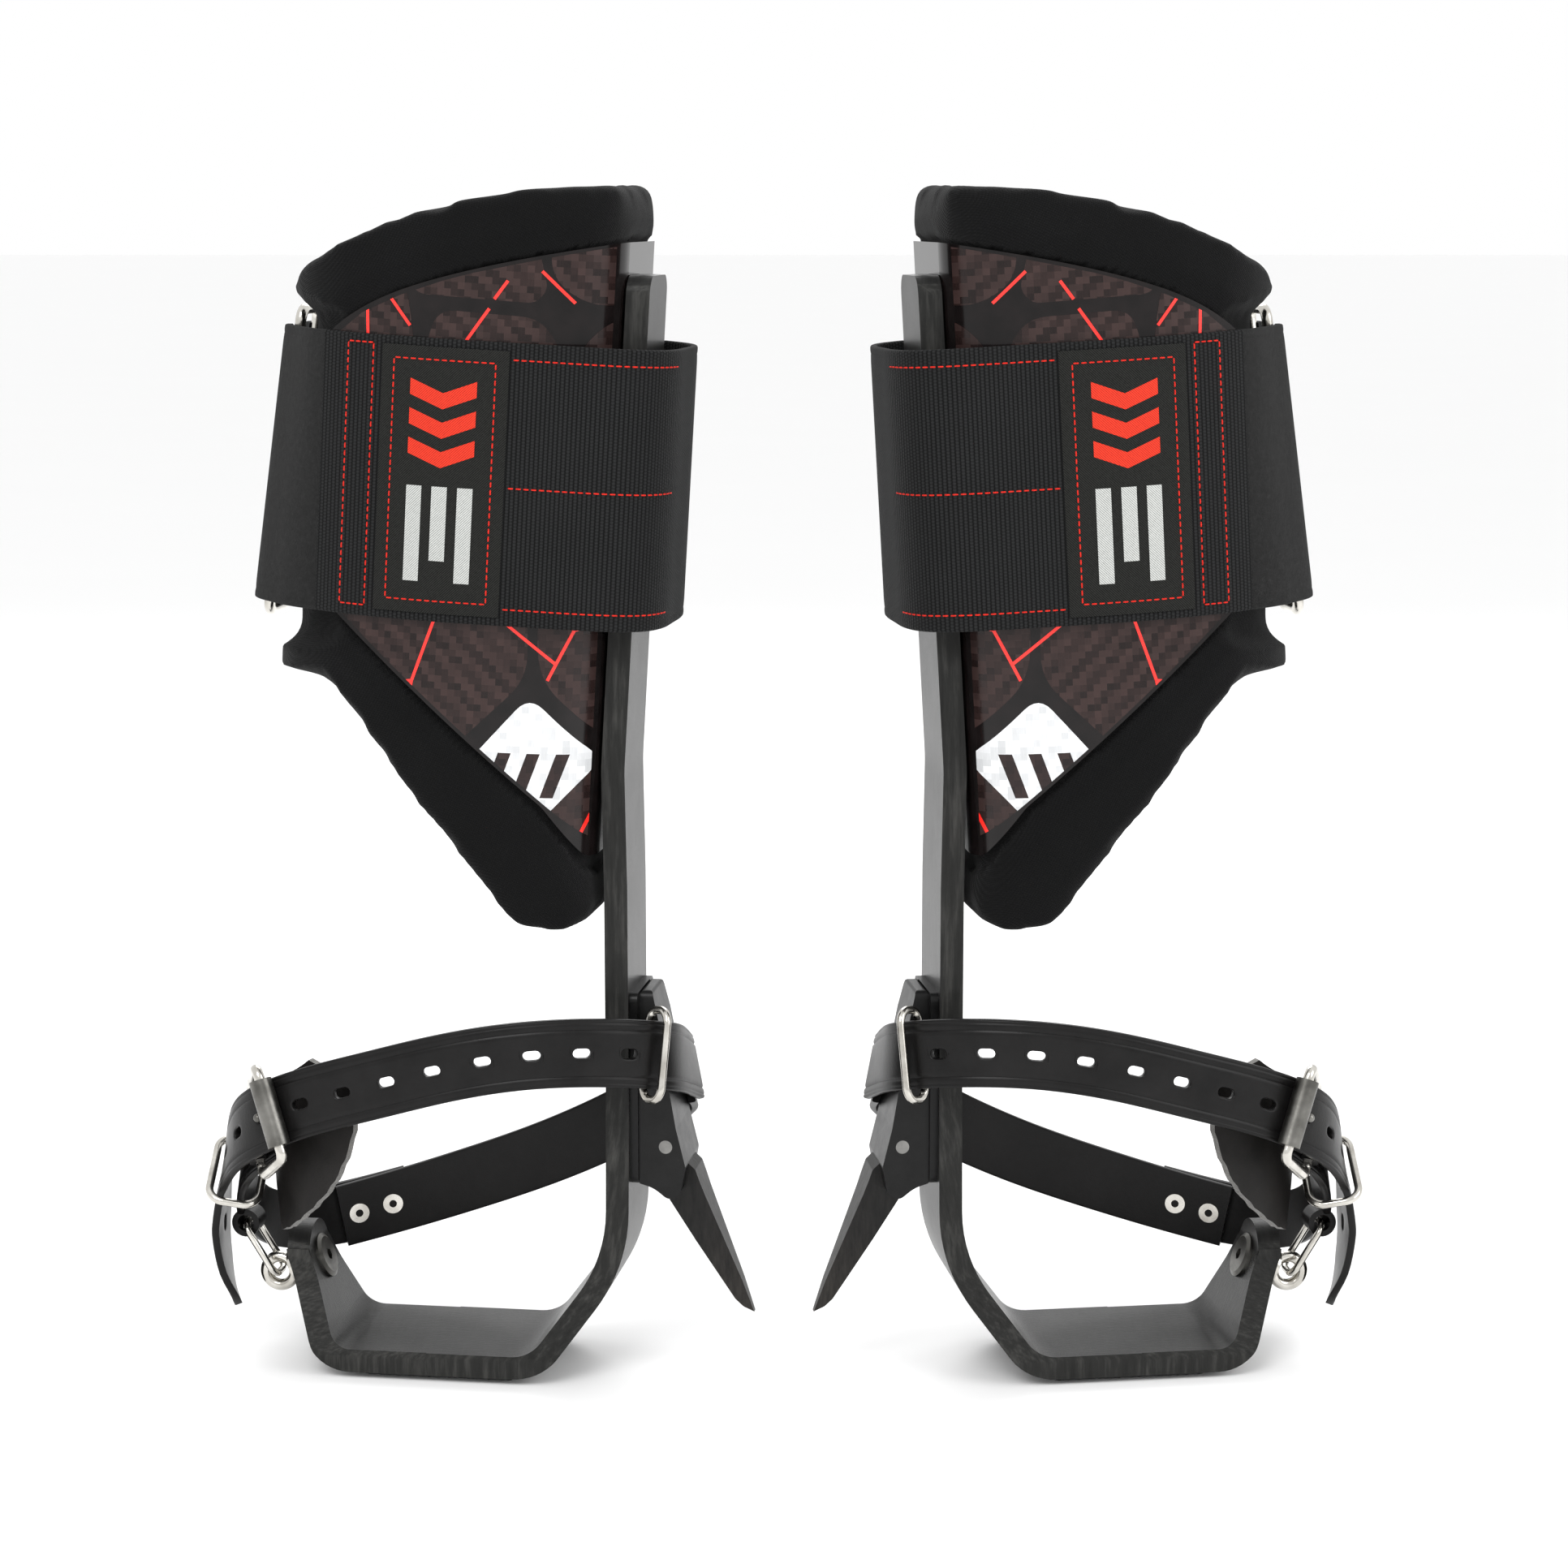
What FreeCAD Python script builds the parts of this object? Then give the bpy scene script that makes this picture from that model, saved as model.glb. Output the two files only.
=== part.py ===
"""A pair of tree climbing spurs: two mirrored leg irons with gaff, shin cuff and ankle strap.

Each spur is modelled in its own frame, in millimetres: u points from the outside of the leg
to the inside (where the gaff is), v points backwards to the heel, z points up, and the ground
is z = 0.  The cuff is modelled in a frame that leans with the upper shank: a runs away from
the leg across the bar, v is as before, h runs up along the bar.  The left spur is then toed
and placed, and the right spur is its mirror image.
"""
import FreeCAD, Part
import math
import os

V = FreeCAD.Vector

# ---- placing of the pair -------------------------------------------------------------------
LEG_OFFSET = 110.0          # leg axis to the middle of the pair
DEPTH_SHIFT = -10.9        # puts the middle of the pair's depth at the origin
TOE_ANGLE = 8.0             # each spur is turned this much about Z

# ---- flat bar: shank, footplate and outer upright in one piece -----------------------------
BAR_THICKNESS = 8.6
BAR_LINE = [                # middle of the bar (u, z) and the bend radius there
    ((61.6, 409.0), 0.0),
    ((51.0, 231.0), 80.0),
    ((51.7, 188.0), 100.0),
    ((51.7, 46.9), 58.0),
    ((21.4, 6.3), 18.0),
    ((-58.5, 6.3), 13.0),
    ((-72.6, 43.0), 12.0),
    ((-73.2, 53.0), 0.0),
]
PLATE_HALF_WIDTH = 28.5
SHANK_HALF_WIDTH = 19.0
SHANK_TOP_HALF_WIDTH = 17.5
UPRIGHT_TOP_RADIUS = 14.0
UPRIGHT_TOP = 52.0
BAR_TOP = 409.0
BAR_INNER = BAR_LINE[3][0][0] - BAR_THICKNESS / 2
BAR_OUTER = BAR_LINE[3][0][0] + BAR_THICKNESS / 2

# ---- tread under the footplate -------------------------------------------------------------
TREAD_FROM = -46.0
TREAD_TO = 13.0
TREAD_HALF_WIDTH = 26.0
TREAD_THICKNESS = 1.2
STUD_HEIGHT = 0.8
STUD_RADIUS = 2.0
STUD_PITCH = 7.6
STUD_COLUMNS = 8
STUD_ROWS = 7

# ---- gaff and its holder -------------------------------------------------------------------
MOUNT_THICKNESS = 3.0
MOUNT_HALF_WIDTH = 17.0
MOUNT_BOTTOM = 75.5
MOUNT_TOP = 148.0
HOLDER_HALF_WIDTH = 15.5
GAFF_HALF_WIDTH = 8.0
GAFF_TIP_HALF_WIDTH = 1.2
GAFF_BOLT_HEIGHTS = (137.0, 114.0)
GAFF_BOLT_RADIUS = 4.0
GAFF_PIN_RADIUS = 2.5
GAFF_PIN_PLACE = (69.0, 90.0)

# ---- bolt, eye nut and link on the outer upright -------------------------------------------
LATERAL_AXIS_POINT = (-70.05, 36.4)
LATERAL_HEAD_RADIUS = 8.6
LATERAL_SHAFT_RADIUS = 4.0
EYE_RADIUS = 5.6
EYE_WIRE_RADIUS = 2.2
EYE_REACH = 10.2
LINK_WIRE_RADIUS = 1.35

# ---- leather -------------------------------------------------------------------------------
LEATHER_WIDTH = 25.0
LEATHER_THICKNESS = 3.0
HOLE_LENGTH = 6.6
HOLE_WIDTH = 3.6

# ---- cuff ----------------------------------------------------------------------------------
CUFF_LEAN = math.degrees(math.atan2(BAR_LINE[0][0][0] - BAR_LINE[1][0][0],
                                    BAR_LINE[0][0][1] - BAR_LINE[1][0][1]))
SHELL_GAP = 0.35
SHELL_THICKNESS = 2.4
CORNER_RADIUS = 24.0
FRONT_RADIUS = 130.0
SIDE_RADIUS = 38.0
CORNER_END = 70.0           # angle where the inner corner meets the flat front
FRONT_END = 105.0           # angle where the flat front meets the outer side
SHELL_END = 130.0
PAD_END = 168.0
CORNER_V = -12.0
SHELL_BACK = 37.0
PAD_BACK = 41.0
PAD_THICKNESS = 11.0
PAD_GAP = 0.3
RIM_PROUD = 1.5
CUFF_BOLT_HEIGHTS = (80.0, 128.0)
CUFF_BOLT_RADIUS = 3.0
CUFF_TRAVEL = 12.0
WEBBING_WIDTH = 100.0
WEBBING_THICKNESS = 2.6
STRAP_BOTTOM = 53.0
STRAP_TOP = STRAP_BOTTOM + WEBBING_WIDTH
STRAP_OUTSIDE = 20.0
RING_WIRE_RADIUS = 2.0


# ==== geometry helpers ======================================================================

def unit(vector):
    """The vector at length 1."""
    copy = V(vector)
    copy.normalize()
    return copy


def corner_edges(corners, closed):
    """Straight edges and arcs through (point, radius) corners."""
    count = len(corners)
    starts = []
    ends = []
    arcs = []
    for index, (point, radius) in enumerate(corners):
        if radius <= 0.0 or (not closed and index in (0, count - 1)):
            starts.append(point)
            ends.append(point)
            arcs.append(None)
            continue
        back = unit(corners[index - 1][0] - point)
        ahead = unit(corners[(index + 1) % count][0] - point)
        half = back.getAngle(ahead) / 2
        reach = radius / math.tan(half)
        middle = point + unit(back + ahead) * (radius / math.sin(half) - radius)
        starts.append(point + back * reach)
        ends.append(point + ahead * reach)
        arcs.append(Part.Arc(starts[-1], middle, ends[-1]).toShape())
    edges = []
    for index in range(count):
        if arcs[index]:
            edges.append(arcs[index])
        if index < count - 1 or closed:
            following = starts[(index + 1) % count]
            if ends[index].distanceToPoint(following) > 1e-6:
                edges.append(Part.LineSegment(ends[index], following).toShape())
    return edges


def prism(corners, plane, low, high):
    """Closed outline of (x, y, radius) corners, extruded from low to high across its plane.

    plane "uz" extrudes along v, "vz" along u, "uv" along z.
    """
    lift = {"uz": lambda x, y: V(x, low, y), "vz": lambda x, y: V(low, x, y),
            "uv": lambda x, y: V(x, y, low)}[plane]
    along = {"uz": V(0, 1, 0), "vz": V(1, 0, 0), "uv": V(0, 0, 1)}[plane]
    rounded = [(lift(x, y), radius) for x, y, radius in corners]
    face = Part.Face(Part.Wire(corner_edges(rounded, True)))
    return face.extrude(along * (high - low))


def offset_line(line, distance):
    """Corners of an open (u, z) line moved sideways, with the bend radii that keep it parallel."""
    points = [V(u, 0, z) for (u, z), radius in line]
    moved = []
    for index, point in enumerate(points):
        before = unit(point - points[index - 1]) if index else unit(points[1] - point)
        after = unit(points[index + 1] - point) if index < len(points) - 1 else before
        if not index:
            before = after
        side = V(before.z, 0, -before.x)
        other = V(after.z, 0, -after.x)
        shift = unit(side + other)
        reach = distance / shift.dot(side)
        turn = before.cross(after).y
        radius = line[index][1]
        if radius:
            radius += distance if turn < 0 else -distance
        moved.append((point + shift * reach, radius))
    return moved


def cylinder(start, direction, radius, length):
    """Round bar from a point along a direction."""
    return Part.makeCylinder(radius, length, start, direction)


def bent_wire(edges, wire_radius):
    """Round wire along joined edges."""
    start = edges[0].valueAt(edges[0].FirstParameter)
    tangent = edges[0].tangentAt(edges[0].FirstParameter)
    section = Part.Wire([Part.Circle(start, tangent, wire_radius).toShape()])
    return Part.Wire(edges).makePipeShell([section], True, False)


def wire_loop(corners, wire_radius):
    """Closed loop of round wire through (point, radius) corners, joined from two halves."""
    edges = corner_edges(corners, True)
    half = len(edges) // 2
    first = bent_wire(edges[:half], wire_radius)
    return first.fuse(bent_wire(edges[half:], wire_radius))


def wire_ring(centre, across, up, width, height, corner, wire_radius):
    """Rounded rectangular ring bent from round wire; width and height are to the wire's middle."""
    across = unit(across)
    up = unit(up)
    corners = []
    for side, level in ((1, 1), (-1, 1), (-1, -1), (1, -1)):
        point = centre + across * (side * width / 2) + up * (level * height / 2)
        corners.append((point, corner))
    return wire_loop(corners, wire_radius)


class Ribbon:
    """A strap along a smooth line; each station has a point, an outward normal and a width."""

    def __init__(self, stations):
        self.points = [V(*point) for point, normal, width in stations]
        self.normals = [unit(V(*normal)) for point, normal, width in stations]
        self.widths = [width for point, normal, width in stations]
        self.curve = Part.BSplineCurve()
        self.curve.interpolate(Points=self.points)
        self.places = [self.curve.parameter(point) for point in self.points]
        self.places[0] = self.curve.FirstParameter
        self.places[-1] = self.curve.LastParameter

    def frame(self, fraction):
        """Middle, direction, outward normal, edge direction and width at 0 to 1 of the line."""
        place = self.places[0] + fraction * (self.places[-1] - self.places[0])
        index = 0
        while index < len(self.places) - 2 and place > self.places[index + 1]:
            index += 1
        share = (place - self.places[index]) / (self.places[index + 1] - self.places[index])
        normal = self.normals[index] * (1 - share) + self.normals[index + 1] * share
        width = self.widths[index] * (1 - share) + self.widths[index + 1] * share
        direction = unit(self.curve.tangent(place)[0])
        edge = unit(direction.cross(normal))
        normal = unit(edge.cross(direction))
        return self.curve.value(place), direction, normal, edge, width

    def solid(self, thickness, sections, outward=0.0, widths=None):
        """Ruled solid; outward moves it off the line along the normal."""
        wires = []
        for index in range(sections + 1):
            fraction = index / sections
            middle, direction, normal, edge, width = self.frame(fraction)
            if widths:
                width = widths(fraction)
            inner = middle + normal * (outward - thickness / 2)
            outer = middle + normal * (outward + thickness / 2)
            half = edge * (width / 2)
            wires.append(Part.makePolygon([inner - half, inner + half, outer + half,
                                           outer - half, inner - half]))
        return Part.makeLoft(wires, True, True)

    def slot(self, fraction, length, width, thickness, outward=0.0):
        """Oval hole through the strap, long along it."""
        middle, direction, normal, edge, strap_width = self.frame(fraction)
        base = middle + normal * (outward - thickness)
        body = Part.makeBox(length - width, width, 2 * thickness)
        matrix = FreeCAD.Matrix(direction.x, edge.x, normal.x, 0,
                                direction.y, edge.y, normal.y, 0,
                                direction.z, edge.z, normal.z, 0, 0, 0, 0, 1)
        body.translate(V(-(length - width) / 2, -width / 2, 0))
        body = body.transformGeometry(matrix)
        body.translate(base)
        shape = body
        for side in (-1, 1):
            centre = base + direction * (side * (length - width) / 2)
            shape = shape.fuse(cylinder(centre, normal, width / 2, 2 * thickness))
        return shape.removeSplitter()


def join(shapes):
    """One solid from overlapping solids."""
    whole = shapes[0].multiFuse(shapes[1:])
    return whole.removeSplitter()


# ==== bar and footplate =====================================================================

def shank_frame():
    """The carbon bar: shank, footplate and outer upright."""
    outer = offset_line(BAR_LINE, BAR_THICKNESS / 2)
    inner = offset_line(BAR_LINE, -BAR_THICKNESS / 2)
    edges = corner_edges(outer, False)
    far_end = Part.LineSegment(outer[-1][0], inner[-1][0]).toShape()
    near_end = Part.LineSegment(inner[0][0], outer[0][0]).toShape()
    profile = Part.Wire(edges + [far_end] + corner_edges(inner, False)[::-1] + [near_end])
    half = PLATE_HALF_WIDTH + 2
    body = Part.Face(profile).extrude(V(0, 2 * half, 0))
    body.translate(V(0, -half, 0))
    shoulder = PLATE_HALF_WIDTH
    waist = SHANK_HALF_WIDTH
    top = SHANK_TOP_HALF_WIDTH
    level = 9.0
    inner_side = [
        (-shoulder, -1, 0), (shoulder, -1, 0), (shoulder, level, 8), (waist + 3, 42, 40),
        (waist, 110, 0), (waist, 240, 0), (top, BAR_TOP, 7), (-top, BAR_TOP, 7),
        (-waist, 240, 0), (-waist, 110, 0), (-waist - 3, 42, 40), (-shoulder, level, 8),
    ]
    radius = UPRIGHT_TOP_RADIUS
    outer_side = [
        (-shoulder, -1, 0), (shoulder, -1, 0), (shoulder, level, 6), (radius, 37, 30),
        (radius, UPRIGHT_TOP, radius - 0.01), (-radius, UPRIGHT_TOP, radius - 0.01),
        (-radius, 37, 30), (-shoulder, level, 6),
    ]
    mask = prism(inner_side, "vz", -20, 90).fuse(prism(outer_side, "vz", -90, -20))
    bar = body.common(mask)
    return bar.removeSplitter()


def sole_tread():
    """Thin studded wear sole under the footplate."""
    top = BAR_LINE[4][0][1] - BAR_THICKNESS / 2
    outline = [(TREAD_FROM, -TREAD_HALF_WIDTH, 4), (TREAD_TO, -TREAD_HALF_WIDTH, 4),
               (TREAD_TO, TREAD_HALF_WIDTH, 4), (TREAD_FROM, TREAD_HALF_WIDTH, 4)]
    pieces = [prism(outline, "uv", top - TREAD_THICKNESS, top)]
    bottom = top - TREAD_THICKNESS
    for column in range(STUD_COLUMNS):
        for row in range(STUD_ROWS):
            u = TREAD_FROM + 3.2 + column * STUD_PITCH
            v = (row - (STUD_ROWS - 1) / 2) * STUD_PITCH
            stud = Part.makeCone(STUD_RADIUS * 0.6, STUD_RADIUS, STUD_HEIGHT,
                                 V(u, v, bottom - STUD_HEIGHT), V(0, 0, 1))
            pieces.append(stud)
    return join(pieces)


# ==== gaff ==================================================================================

def gaff_mount_plate():
    """Backing plate between bar and gaff holder."""
    half = MOUNT_HALF_WIDTH
    outline = [(-half, MOUNT_BOTTOM, 4), (half, MOUNT_BOTTOM, 4),
               (half, MOUNT_TOP, 3), (-half, MOUNT_TOP, 3)]
    return prism(outline, "vz", BAR_OUTER, BAR_OUTER + MOUNT_THICKNESS)


def gaff_blank():
    """The spike with its tang, before the edges are shaped."""
    outline = [
        (100.0, 23.6, 0), (95.9, 25.6, 3), (92.9, 28.6, 3), (78.4, 52.0, 60), (69.2, 67.6, 0),
        (66.0, 78.0, 0), (64.2, 102.0, 2), (69.6, 102.0, 2), (74.6, 83.6, 0), (78.9, 79.6, 1),
        (82.3, 70.0, 30), (95.8, 35.8, 0),
    ]
    return prism(outline, "uz", -GAFF_HALF_WIDTH, GAFF_HALF_WIDTH)


def gaff():
    """Forged spike: flat sides that run together towards a chisel tip."""
    blank = gaff_blank()
    base = V(74.0, 0, 72.0)
    tip = V(100.0, 0, 23.6)
    along = unit(tip - base)
    across = V(along.z, 0, -along.x)
    length = base.distanceToPoint(tip)
    wide = GAFF_HALF_WIDTH
    narrow = GAFF_TIP_HALF_WIDTH
    corners = []
    for reach, half in ((-40, wide), (0, wide), (length + 1, narrow), (length + 1, -narrow),
                        (0, -wide), (-40, -wide)):
        corners.append(base + along * reach + V(0, half, 0) - across * 40)
    face = Part.Face(Part.makePolygon(corners + [corners[0]]))
    spike = blank.common(face.extrude(across * 80))
    return spike


def gaff_holder():
    """Wedge block that holds the gaff's tang, bolted through plate and bar."""
    left = BAR_OUTER + MOUNT_THICKNESS
    outline = [
        (left, MOUNT_TOP, 1.5), (left + 4.6, MOUNT_TOP, 1.5), (66.2, 137.0, 8),
        (72.9, 97.0, 0), (76.4, 82.6, 3), (74.6, 72.6, 3), (70.4, 69.4, 3),
        (64.5, 74.2, 14), (left, 75.8, 1),
    ]
    body = prism(outline, "uz", -HOLDER_HALF_WIDTH, HOLDER_HALF_WIDTH)
    half = HOLDER_HALF_WIDTH
    shape = [(-half, 66, 6), (half, 66, 6), (half, 118, 20), (half - 4, MOUNT_TOP, 3),
             (-half + 4, MOUNT_TOP, 3), (-half, 118, 20)]
    body = body.common(prism(shape, "vz", 50, 90))
    return body.cut(gaff_blank())


def gaff_bolts():
    """Two countersunk bolts through bar, plate and holder."""
    bolts = []
    for height, reach in zip(GAFF_BOLT_HEIGHTS, (16.2, 20.5)):
        start = V(BAR_INNER + 0.2, 0, height)
        shaft = cylinder(start, V(1, 0, 0), GAFF_BOLT_RADIUS, reach - 0.2)
        head = Part.makeCone(GAFF_BOLT_RADIUS * 1.9, GAFF_BOLT_RADIUS, 3.4, start, V(1, 0, 0))
        socket = hexagon(start, V(1, 0, 0), 2.5, 2.2)
        bolts.append(shaft.fuse(head).removeSplitter().cut(socket))
    return bolts


def hexagon(start, direction, radius, depth):
    """Six-sided prism for sockets and nuts; radius is to its corners."""
    direction = unit(direction)
    side = unit(direction.cross(V(0.1, 1, 0.2)))
    other = direction.cross(side)
    corners = []
    for index in range(6):
        angle = math.radians(60 * index)
        corners.append(start + side * (radius * math.cos(angle))
                       + other * (radius * math.sin(angle)))
    return Part.Face(Part.makePolygon(corners + [corners[0]])).extrude(direction * depth)


def gaff_retaining_pin():
    """Spring pin across holder and tang."""
    u, z = GAFF_PIN_PLACE
    return cylinder(V(u, -HOLDER_HALF_WIDTH, z), V(0, 1, 0), GAFF_PIN_RADIUS,
                    2 * HOLDER_HALF_WIDTH)


# ==== hardware on the outer upright =========================================================

def lateral_frame():
    """Point on the upright's middle and the outward direction of its bolt."""
    low, high = (V(u, 0, z) for u, z in (BAR_LINE[5][0], BAR_LINE[6][0]))
    along = unit(high - low)
    return V(LATERAL_AXIS_POINT[0], 0, LATERAL_AXIS_POINT[1]), V(-along.z, 0, along.x)


def lateral_bolt():
    """Round-headed bolt with a hex socket, through the upright and into the eye nut."""
    middle, out = lateral_frame()
    half = BAR_THICKNESS / 2
    start = middle - out * half
    head = cylinder(start, -out, LATERAL_HEAD_RADIUS, 1.2)
    crown = Part.makeCone(LATERAL_HEAD_RADIUS, LATERAL_HEAD_RADIUS - 1.6, 0.9,
                          start - out * 1.2, -out)
    shaft = cylinder(start, out, LATERAL_SHAFT_RADIUS, BAR_THICKNESS + 4.0)
    bolt = head.multiFuse([crown, shaft]).removeSplitter()
    return bolt.cut(hexagon(start - out * 2.2, out, 2.3, 2.0))


def eye_centre():
    """Middle of the eye nut's ring."""
    middle, out = lateral_frame()
    return middle + out * (BAR_THICKNESS / 2 + EYE_REACH)


def eye_nut():
    """Collar and ring that the link hangs in."""
    middle, out = lateral_frame()
    start = middle + out * (BAR_THICKNESS / 2)
    collar = cylinder(start, out, 6.4, 4.6)
    ring = Part.makeTorus(EYE_RADIUS, EYE_WIRE_RADIUS, eye_centre(), V(0, 1, 0))
    nut = collar.fuse(ring)
    bore = cylinder(start, out, LATERAL_SHAFT_RADIUS, 4.0)
    opening = cylinder(eye_centre() - V(0, 8, 0), V(0, 1, 0), 3.0, 16)
    return nut.cut(bore.fuse(opening))


# ==== ankle strap and its fittings ==========================================================

FRONT_STRAP = [              # point, outward normal, width
    ((74.4, 20.0, 112.0), (1.0, 0.25, 0.17), LEATHER_WIDTH),
    ((73.5, 2.0, 119.0), (1.0, -0.1, 0.17), LEATHER_WIDTH),
    ((71.0, -17.0, 125.0), (0.85, -0.5, 0.14), LEATHER_WIDTH),
    ((62.0, -31.0, 129.0), (0.6, -0.8, 0.1), LEATHER_WIDTH),
    ((46.0, -42.0, 131.5), (0.4, -0.9, 0.05), LEATHER_WIDTH),
    ((22.0, -48.5, 131.0), (0.12, -1.0, 0.0), LEATHER_WIDTH),
    ((-6.0, -50.0, 126.0), (0.0, -1.0, 0.0), LEATHER_WIDTH),
    ((-34.0, -48.0, 118.0), (-0.1, -1.0, 0.05), LEATHER_WIDTH),
    ((-60.0, -43.5, 109.5), (-0.2, -1.0, 0.1), LEATHER_WIDTH),
    ((-80.0, -36.0, 100.0), (-0.5, -0.9, 0.15), LEATHER_WIDTH),
    ((-94.0, -22.0, 87.5), (-0.85, -0.5, 0.2), LEATHER_WIDTH),
    ((-101.5, -9.0, 72.0), (-1.0, -0.2, 0.2), LEATHER_WIDTH),
    ((-105.5, -3.0, 52.0), (-1.0, -0.1, 0.1), LEATHER_WIDTH),
    ((-105.0, -1.0, 34.0), (-1.0, -0.2, -0.05), LEATHER_WIDTH),
    ((-101.0, 0.0, 18.0), (-1.0, -0.45, -0.15), LEATHER_WIDTH),
]
STRAP_SECTIONS = 36
HOLE_COUNT = 13
FIRST_HOLE = 0.2            # as a fraction of the front strap's length
HOLE_STEP = 0.0578
PRONG_HOLE = 8              # the hole that the prong is in
REAR_STRAP = [
    ((71.5, 17.8, 111.0), (1.0, 0.25, 0.17), LEATHER_WIDTH),
    ((67.5, 33.0, 103.0), (0.8, 0.7, 0.1), LEATHER_WIDTH),
    ((54.0, 45.0, 91.0), (0.45, 0.9, 0.0), LEATHER_WIDTH),
    ((34.0, 54.0, 78.0), (0.3, 1.0, 0.0), LEATHER_WIDTH),
    ((6.0, 59.5, 64.0), (0.1, 1.0, 0.0), LEATHER_WIDTH),
    ((-24.0, 60.0, 52.5), (-0.05, 1.0, 0.0), LEATHER_WIDTH),
    ((-54.0, 54.0, 43.5), (-0.3, 1.0, 0.0), LEATHER_WIDTH),
    ((-72.0, 46.5, 39.5), (-0.45, 0.9, 0.0), LEATHER_WIDTH),
]
BUCKLE_STRAP = [
    ((-47.0, 59.6, 45.3), (-0.25, 1.0, 0.0), LEATHER_WIDTH),
    ((-74.0, 49.2, 39.8), (-0.5, 0.9, 0.0), LEATHER_WIDTH),
    ((-90.0, 34.0, 41.0), (-0.9, 0.5, 0.0), 22.0),
    ((-96.5, 18.0, 49.0), (-1.0, 0.15, 0.05), 20.0),
    ((-97.5, 4.0, 60.0), (-1.0, -0.1, 0.15), 20.0),
    ((-94.5, -8.0, 72.5), (-0.95, -0.3, 0.2), 22.0),
    ((-87.5, -20.5, 85.5), (-0.8, -0.55, 0.2), 24.0),
    ((-78.0, -29.5, 95.5), (-0.5, -0.85, 0.15), 24.0),
]
GUARD = [
    ((-81.0, -4.0, 58.0), (-0.9, -0.45, 0.1), 12.0),
    ((-75.0, -14.0, 73.0), (-0.75, -0.65, 0.1), 30.0),
    ((-66.5, -22.5, 89.0), (-0.52, -0.85, 0.1), 42.0),
    ((-58.5, -28.5, 104.0), (-0.38, -0.92, 0.1), 40.0),
    ((-53.0, -32.0, 119.0), (-0.28, -0.96, 0.1), 22.0),
]
BUCKLE_ARM = 17.5           # middle of the strap to the buckle's side wire
BUCKLE_WIRE_RADIUS = 2.0
BUCKLE_CORNER = 3.5
ROLLER_RADIUS = 4.2
ROLLER_HALF_LENGTH = 12.6
ROLLER_BORE = 2.06
ROLLER_AHEAD = 8.0          # along the strap from the prong's hole to the roller
HEEL_BEHIND = 17.0          # along the strap from the prong's hole to the heel bar
HEEL_DEPTH = 6.2            # heel bar below the strap's middle
PRONG_RADIUS = 1.4
PRONG_EYE_RADIUS = 3.9
PRONG_BALL_RADIUS = 1.7
KEEPER_PLACE = 0.815        # as a fraction of the front strap's length


def hole_place(index):
    """Fraction of the front strap's length where an adjusting hole is."""
    return FIRST_HOLE + HOLE_STEP * index


def front_point(behind, outward):
    """Point beside the front strap: distance past the prong's hole, distance off its middle."""
    ribbon = Ribbon(FRONT_STRAP)
    fraction = hole_place(PRONG_HOLE) + behind / ribbon.curve.length()
    middle, direction, normal, edge, width = ribbon.frame(fraction)
    return middle + normal * outward, direction, normal, edge


def ankle_strap_front():
    """Front ankle strap with its adjusting holes, from the gaff holder to the hanging tail."""
    ribbon = Ribbon(FRONT_STRAP)
    strap = ribbon.solid(LEATHER_THICKNESS, STRAP_SECTIONS)
    for index in range(HOLE_COUNT):
        strap = strap.cut(ribbon.slot(hole_place(index), HOLE_LENGTH, HOLE_WIDTH,
                                      LEATHER_THICKNESS))
    return strap


def ankle_strap_rear():
    """Rear ankle strap, round the heel, with two rivet holes at its outer end."""
    strap = Ribbon(REAR_STRAP).solid(LEATHER_THICKNESS, 24)
    return strap.cut(Part.makeCompound(rivet_shanks() + strap_rivets()))


def rivet_frames():
    """Middle and outward normal of the two rivets through the lap of rear and buckle straps."""
    frames = []
    for fraction in (0.885, 0.962):
        middle, direction, normal, edge, width = Ribbon(REAR_STRAP).frame(fraction)
        frames.append((middle, normal))
    return frames


def rivet_shanks():
    """Round bodies that fill the rivet holes."""
    return [cylinder(middle - normal * 6, normal, 2.6, 14) for middle, normal in rivet_frames()]


def strap_rivets():
    """Two tubular rivets with a flange on each side of the lap."""
    rivets = []
    for middle, normal in rivet_frames():
        inside = LEATHER_THICKNESS / 2
        start = middle - normal * (inside + 1.0)
        shank = cylinder(start, normal, 2.6, 2 * LEATHER_THICKNESS + 2.6)
        inner = cylinder(start, normal, 3.9, 1.0)
        rivet = shank.fuse(inner)
        rivets.append(rivet.cut(cylinder(start - normal, normal, 1.5, 12)))
    return rivets


def buckle_strap():
    """Short strap from the rivets up to the buckle, with the loop that holds the link."""
    strap = Ribbon(BUCKLE_STRAP).solid(LEATHER_THICKNESS, 28)
    top = link_top()
    around = cylinder(top - V(0, 4.6, 0), V(0, 1, 0), 5.4, 9.2)
    tab = Part.makeBox(3.0, 9.2, 16.0, V(top.x - 5.2, -4.6, top.z))
    hole = cylinder(top - V(0, 10, 0), V(0, 1, 0), 3.2, 20)
    strap = strap.fuse(around.fuse(tab)).cut(hole)
    heel, direction, normal, edge = front_point(HEEL_BEHIND, -HEEL_DEPTH)
    sleeve = cylinder(heel - edge * 12, edge, 4.4, 24)
    bar_room = cylinder(heel - edge * 20, edge, BUCKLE_WIRE_RADIUS + 0.05, 40)
    slot = cylinder(heel - edge * 2.2, edge, 9.5, 4.4)
    strap = strap.fuse(sleeve).cut(bar_room.fuse(slot))
    strap = strap.cut(Part.makeCompound(rivet_shanks() + strap_rivets()))
    return strap.cut(Ribbon(FRONT_STRAP).solid(LEATHER_THICKNESS + 0.3, STRAP_SECTIONS))


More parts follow.
